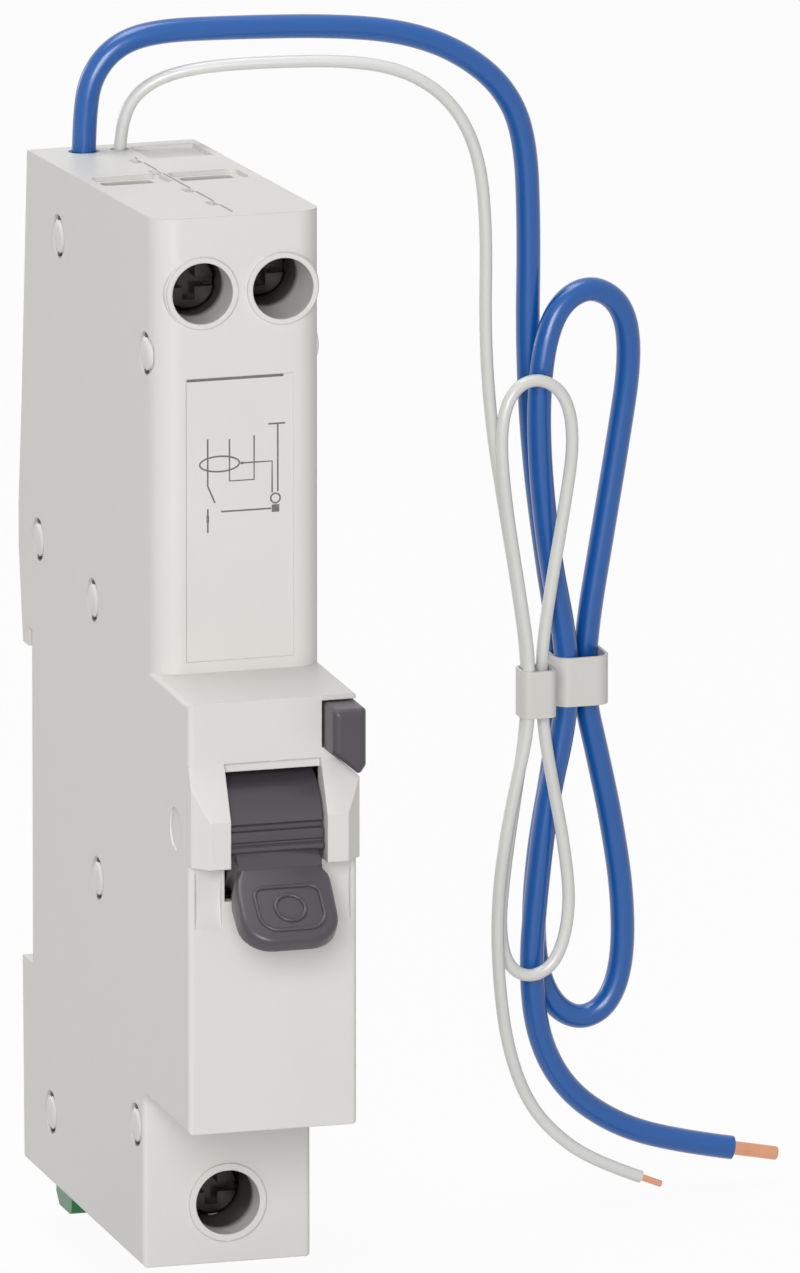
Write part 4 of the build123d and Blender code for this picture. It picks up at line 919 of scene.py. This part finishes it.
# ---------------------------------------------------------------- print
# circuit drawing on the label panel, with a painted shadow line along the panel's top edge: strokes
# of (x, z) in millimetres
PANEL_Y = -47.05
THIN_STROKES = [
    [(-3.3, 48.5), (-3.3, 43.6), (-2.55, 41.8)],
    [(-1.0, 48.4), (-1.0, 44.0), (1.6, 44.0), (1.6, 48.6)],
    [(0.15, 45.8), (3.5, 45.8), (3.5, 42.5)],
    [(4.1, 49.7), (4.1, 42.6)],
    [(3.1, 49.7), (4.9, 49.7)],
    [(-1.9, 40.85), (3.4, 40.85)],
    [(-3.3, 41.2), (-3.3, 38.7)],
]
MEDIUM_STROKES_AND_SHADOW = [
    [(-3.3, 40.5), (-3.3, 39.8)],
    [(0.2, 45.8), (0.45, 45.8)],
    # painted shadow: dark line along the label panel's top edge, drawn in the print's ink
    [(-5.5, 54.72), (4.7, 54.72)],
]
BOLD_STROKES = [
    [(3.45, 40.85), (4.25, 40.85)],
]
# ovals of the drawing: middle x and z, half width and half height
OVALS = [(-2.05, 45.85, 2.1, 0.8), (3.85, 41.9, 0.5, 0.5)]
INK_FLATNESS = 0.12
INK_TONES = ((0.09, 0.09, 0.09, 1.0), (0.2, 0.2, 0.195, 1.0))


def full_turn(steps):
    """Angles of one turn, without its end."""
    return [2 * math.pi * step / steps for step in range(steps)]


def oval_stroke(x, z, half_width, half_height):
    """Closed stroke round a flat oval."""
    turns = [*full_turn(28), 2 * math.pi]
    return [(x + half_width * math.cos(turn), z + half_height * math.sin(turn)) for turn in turns]


def line_piece(name, strokes, half_width, material, flatness=1.0, place=(0.0, 0.0, 0.0)):
    """Round or flattened lines along strokes of points in millimetres."""
    points = []
    edges = []
    for stroke in strokes:
        first = len(points)
        points += [Vector(point) * MM for point in stroke]
        edges += [(number, number + 1) for number in range(first, len(points) - 1)]
    tree = Tree(f"{name}_tree")
    half = tree.length("Half width", half_width)
    flat = tree.value("Flatness", "NodeSocketVector", (1.0, flatness, 1.0))
    spot = tree.value("Place", "NodeSocketVector", place)
    path = tree.node("GeometryNodeMeshToCurve", None, {"Mesh": tree.source.outputs["Geometry"]})
    pen = tree.node("GeometryNodeCurvePrimitiveCircle", None, {"Resolution": 8, "Radius": half})
    sweep = {"Curve": path.outputs[0], "Profile Curve": pen.outputs[0], "Fill Caps": True}
    line = tree.node("GeometryNodeCurveToMesh", None, sweep).outputs[0]
    laid = tree.moved(line, Scale=flat, Translation=spot)
    return tree.run(name, loose_mesh(f"{name}_strokes", points, edges), laid, material)


class BREAKER_OT_print(bpy.types.Operator):
    """Prints the circuit drawing on the label panel and a painted shadow line along its top edge"""

    bl_idname = "breaker.circuit_print"
    bl_label = "Circuit print"

    def execute(self, context):
        settings = context.scene.breaker_case
        ink_and_shadow = Finish("print_ink")
        fade = ink_and_shadow.noise(2500.0, 3.0)
        ink_and_shadow.set(Base_Color=ink_and_shadow.mix(fade, *INK_TONES), Roughness=0.5)
        ovals = [oval_stroke(*oval) for oval in OVALS]
        place = (0.0, PANEL_Y * MM, 0.0)
        groups = (
            ("thin", THIN_STROKES + ovals, settings.line),
            ("medium", MEDIUM_STROKES_AND_SHADOW, 1.6 * settings.line),
            ("bold", BOLD_STROKES, 4.4 * settings.line),
        )
        for weight, strokes, width in groups:
            upright = [[(x, 0.0, z) for x, z in stroke] for stroke in strokes]
            name = f"{weight}_print_lines"
            piece = line_piece(name, upright, width / 2, ink_and_shadow.material, INK_FLATNESS, place)
            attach(piece, "root")
        return {"FINISHED"}


# ---------------------------------------------------------------- mechanism
# slots whose pieces other steps finish, classes of bare metal, and how much darker the
# hidden pieces are than the record's colours
OUTER_SLOTS = {"housing_grey", "toggle_plastic", "clip_green", "rivet_grey"}
METAL_CLASSES = ("brushed_steel", "chrome", "brass")
INSIDE_SHADE = 0.8
INNER_EDGE = 0.1 * MM
# near black screw steel: a dark steel finish made darker still as painted shade deep in the wells
SCREW_SHADED_COLOUR = (0.045, 0.042, 0.039, 1.0)
SPRING_COLOUR = (0.62, 0.62, 0.63, 1.0)


class BREAKER_OT_inside(bpy.types.Operator):
    """Finishes every piece of the mechanism, the trip units and the terminals"""

    bl_idname = "breaker.inside"
    bl_label = "Mechanism and terminals"

    def execute(self, context):
        rows = {row["slot"]: row for row in frame["record"]["materials"]}
        made = {}
        for entry in frame["record"]["subparts"]:
            slot, node = entry["material_slot"], entry["node"]
            if slot in OUTER_SLOTS or node.startswith(("blue_lead", "white_lead")):
                continue
            if slot not in made:
                colour = shade(rows[slot]["base_color"], INSIDE_SHADE)
                if rows[slot]["class"] in METAL_CLASSES:
                    made[slot] = metal(slot, colour, 0.35)
                else:
                    made[slot] = moulded(slot, colour, 0.5, INNER_EDGE, INNER_GRAIN)
            put_on(node, made[slot])
        # screws in dark steel that also carries painted shade of their wells
        screws = metal("screw_phosphate", SCREW_SHADED_COLOUR, 0.24)
        for node in frame["nodes"]:
            if node.endswith("_screw"):
                put_on(node, screws)
        return {"FINISHED"}


class BREAKER_OT_springs(bpy.types.Operator):
    """Gives the button's spring and the clip's spring steel copies in place of their CAD nodes"""

    bl_idname = "breaker.springs"
    bl_label = "Return springs"

    def execute(self, context):
        steel = metal("return_spring_steel", SPRING_COLOUR, 0.3)
        for joint in frame["record"]["behaviour"]["joints"]:
            for row in joint.get("deforming_nodes", []):
                self.coils(joint, row, steel)
        return {"FINISHED"}

    def coils(self, joint, row, steel):
        """Steel copy of a spring in place of its CAD node; the axis and the share it would keep
        when squashed are worked out but not used.
        """
        node = row["node"]
        letter = row["mode"][-1]
        number = "xyz".index(letter)
        low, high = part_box(node)
        mesh = kept_mesh(f"{node}_coils", welded_copy(node))
        mesh.materials.clear()
        mesh.materials.append(steel)
        piece = finished(f"{node}_coils", mesh)
        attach(piece, "root")
        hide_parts(node)
        axis = [float(place == number) for place in range(3)]
        keep = 1 - joint["range_m"][1] / (high[number] - low[number])
        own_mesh(piece)


# ---------------------------------------------------------------- leads
COPPER_COLOUR = (0.70, 0.35, 0.22, 1.0)
SLEEVE_COLOUR = (0.66, 0.65, 0.62, 1.0)


class BREAKER_OT_leads(bpy.types.Operator):
    """Makes the two fly leads and finishes their ties and their stripped ends"""

    bl_idname = "breaker.leads"
    bl_label = "Fly leads"

    def execute(self, context):
        settings = context.scene.breaker_leads
        copper = metal("lead_copper", COPPER_COLOUR, 0.22)
        sleeve = moulded("tie_sleeve", SLEEVE_COLOUR, 0.35, INNER_EDGE, SLEEVE_GRAIN)
        blue = insulation("blue_pvc", settings.blue, 0.3)
        white = insulation("white_pvc", settings.white, 0.32)
        rows = (
            ("blue", BLUE_ROUTE, settings.blue_diameter, blue),
            ("white", WHITE_ROUTE, settings.white_diameter, white),
        )
        for colour, route, diameter, material in rows:
            lead = tube_curve(f"{colour}_fly_lead", route, diameter, material)
            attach(lead, "root")
            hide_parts(f"{colour}_lead")
            put_on(f"{colour}_lead_core", copper)
            put_on(f"{colour}_lead_tie", sleeve)
        return {"FINISHED"}


# ---------------------------------------------------------------- stage
# lamps: name, place, size in metres and power in watts
LAMPS = (
    ("key_lamp", (-0.36, -1.00, 0.38), 0.45, 6.7),
    ("fill_lamp", (-0.20, -1.05, 0.0), 0.4, 2.0),
    ("top_lamp", (-0.15, 0.12, 0.98), 0.6, 5.9),
    ("back_lamp", (-0.70, 1.00, 0.20), 0.4, 1.4),
)
LAMP_AIM = (0.01, -0.02, 0.015)
WHITE = (1.0, 1.0, 1.0, 1.0)
FLOOR_GREY = (0.62, 0.62, 0.62, 1.0)
FLOOR_REACH = 3.0
FLOOR_GAP = 1.5 * MM
FLOOR_GLOW = 0.95  # share of white in what the camera sees of the floor
AMBIENT = 0.20  # strength of the surroundings as a light
SENSOR_WIDTH = 36.0


def seen_ray(tree):
    """1 on rays that show the surroundings: seen directly, mirrored or through something clear."""
    path = tree.nodes.new("ShaderNodeLightPath")
    direct = Value(tree, path.outputs["Is Camera Ray"])
    mirrored = direct.math("MAXIMUM", Value(tree, path.outputs["Is Glossy Ray"]))
    return mirrored.math("MAXIMUM", Value(tree, path.outputs["Is Transmission Ray"]))


class BREAKER_OT_stage(bpy.types.Operator):
    """Sets the floor, the lights, the world and the camera"""

    bl_idname = "breaker.stage"
    bl_label = "Stage"

    def execute(self, context):
        scene = context.scene
        self.floor(scene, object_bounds()[0][2] - FLOOR_GAP)
        for row in LAMPS:
            self.lamp(scene, *row)
        self.world(scene)
        self.camera(scene, scene.breaker_stage)
        scene.view_settings.view_transform = "Standard"
        return {"FINISHED"}

    def floor(self, scene, level):
        """Flat floor just below the breaker."""
        reach = FLOOR_REACH
        sides = [(-reach, -reach), (reach, -reach), (reach, reach), (-reach, reach)]
        mesh = bpy.data.meshes.new("studio_floor")
        mesh.from_pydata([(x, y, level) for x, y in sides], [], [(0, 1, 2, 3)])
        floor = bpy.data.objects.new("studio_floor", mesh)
        scene.collection.objects.link(floor)
        mesh.materials.append(self.floor_material())
        floor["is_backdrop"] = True

    def floor_material(self):
        """Pale floor that reads white to the camera and keeps the shadow."""
        material = bpy.data.materials.new("studio_floor")
        material.use_nodes = True
        tree = material.node_tree
        tree.nodes.clear()
        output = tree.nodes.new("ShaderNodeOutputMaterial")
        diffuse = tree.nodes.new("ShaderNodeBsdfDiffuse")
        diffuse.inputs["Color"].default_value = FLOOR_GREY
        glow = tree.nodes.new("ShaderNodeEmission")
        glow.inputs["Color"].default_value = WHITE
        mixed = tree.nodes.new("ShaderNodeMixShader")
        feed(tree, mixed.inputs[0], seen_ray(tree) * FLOOR_GLOW)
        tree.links.new(diffuse.outputs[0], mixed.inputs[1])
        tree.links.new(glow.outputs[0], mixed.inputs[2])
        tree.links.new(mixed.outputs[0], output.inputs["Surface"])
        return material

    def lamp(self, scene, name, place, size, power):
        """Square soft lamp that faces the breaker."""
        data = bpy.data.lights.new(name, "AREA")
        data.shape = "SQUARE"
        data.size = size
        data.energy = power
        lamp = bpy.data.objects.new(name, data)
        scene.collection.objects.link(lamp)
        lamp.location = place
        lamp.rotation_mode = "QUATERNION"
        lamp.rotation_quaternion = (Vector(LAMP_AIM) - Vector(place)).to_track_quat("-Z", "Y")

    def world(self, scene):
        """White surroundings to the camera, dimmer as a light."""
        world = bpy.data.worlds.new("studio_world")
        world.use_nodes = True
        tree = world.node_tree
        background = tree.nodes["Background"]
        feed(tree, background.inputs["Strength"], AMBIENT + seen_ray(tree) * (1.0 - AMBIENT))
        background.inputs["Color"].default_value = WHITE
        scene.world = world

    def camera(self, scene, settings):
        """Camera that looks at the target from the set side and height."""
        data = bpy.data.cameras.new("studio_camera")
        data.sensor_width = SENSOR_WIDTH
        data.lens = SENSOR_WIDTH * settings.distance / settings.picture_height
        data.clip_start = 0.1
        data.clip_end = 40.0
        camera = bpy.data.objects.new("studio_camera", data)
        scene.collection.objects.link(camera)
        turn, rise = settings.azimuth, settings.elevation
        level = math.cos(rise)
        back = Vector((math.sin(turn) * level, -math.cos(turn) * level, math.sin(rise)))
        camera.location = Vector(settings.target) + back * settings.distance
        camera.rotation_mode = "QUATERNION"
        camera.rotation_quaternion = (-back).to_track_quat("-Z", "Y")
        scene.camera = camera


# ---------------------------------------------------------------- add-on
class BREAKER_PT_panel(bpy.types.Panel):
    """Steps that finish the breaker"""

    bl_label = "Residual Current Breaker"
    bl_idname = "BREAKER_PT_panel"
    bl_space_type = "VIEW_3D"
    bl_region_type = "UI"
    bl_category = "Breaker"

    def draw(self, context):
        for group in GROUPS:
            settings = getattr(context.scene, group)
            for key in settings.bl_rna.properties.keys():
                if key not in ("rna_type", "name"):
                    self.layout.prop(settings, key)
        for step in STEPS:
            self.layout.operator(step.bl_idname)


STEPS = (
    BREAKER_OT_case,
    BREAKER_OT_seam,
    BREAKER_OT_rivets,
    BREAKER_OT_toggle,
    BREAKER_OT_print,
    BREAKER_OT_inside,
    BREAKER_OT_springs,
    BREAKER_OT_leads,
    BREAKER_OT_stage,
)
GROUPS = {
    "breaker_case": CaseSettings,
    "breaker_leads": LeadSettings,
    "breaker_stage": StageSettings,
}


def register():
    """Adds the settings, the steps and the panel."""
    for group in GROUPS.values():
        bpy.utils.register_class(group)
    for key, group in GROUPS.items():
        setattr(bpy.types.Scene, key, bpy.props.PointerProperty(type=group))
    for step in (*STEPS, BREAKER_PT_panel):
        bpy.utils.register_class(step)


def unregister():
    """Takes them away again."""
    for step in reversed((*STEPS, BREAKER_PT_panel)):
        bpy.utils.unregister_class(step)
    for key in GROUPS:
        delattr(bpy.types.Scene, key)
    for group in GROUPS.values():
        bpy.utils.unregister_class(group)


def main():
    """Runs every step in order."""
    register()
    for step in STEPS:
        prefix, name = step.bl_idname.split(".")
        getattr(getattr(bpy.ops, prefix), name)()


if __name__ == "__main__":
    main()
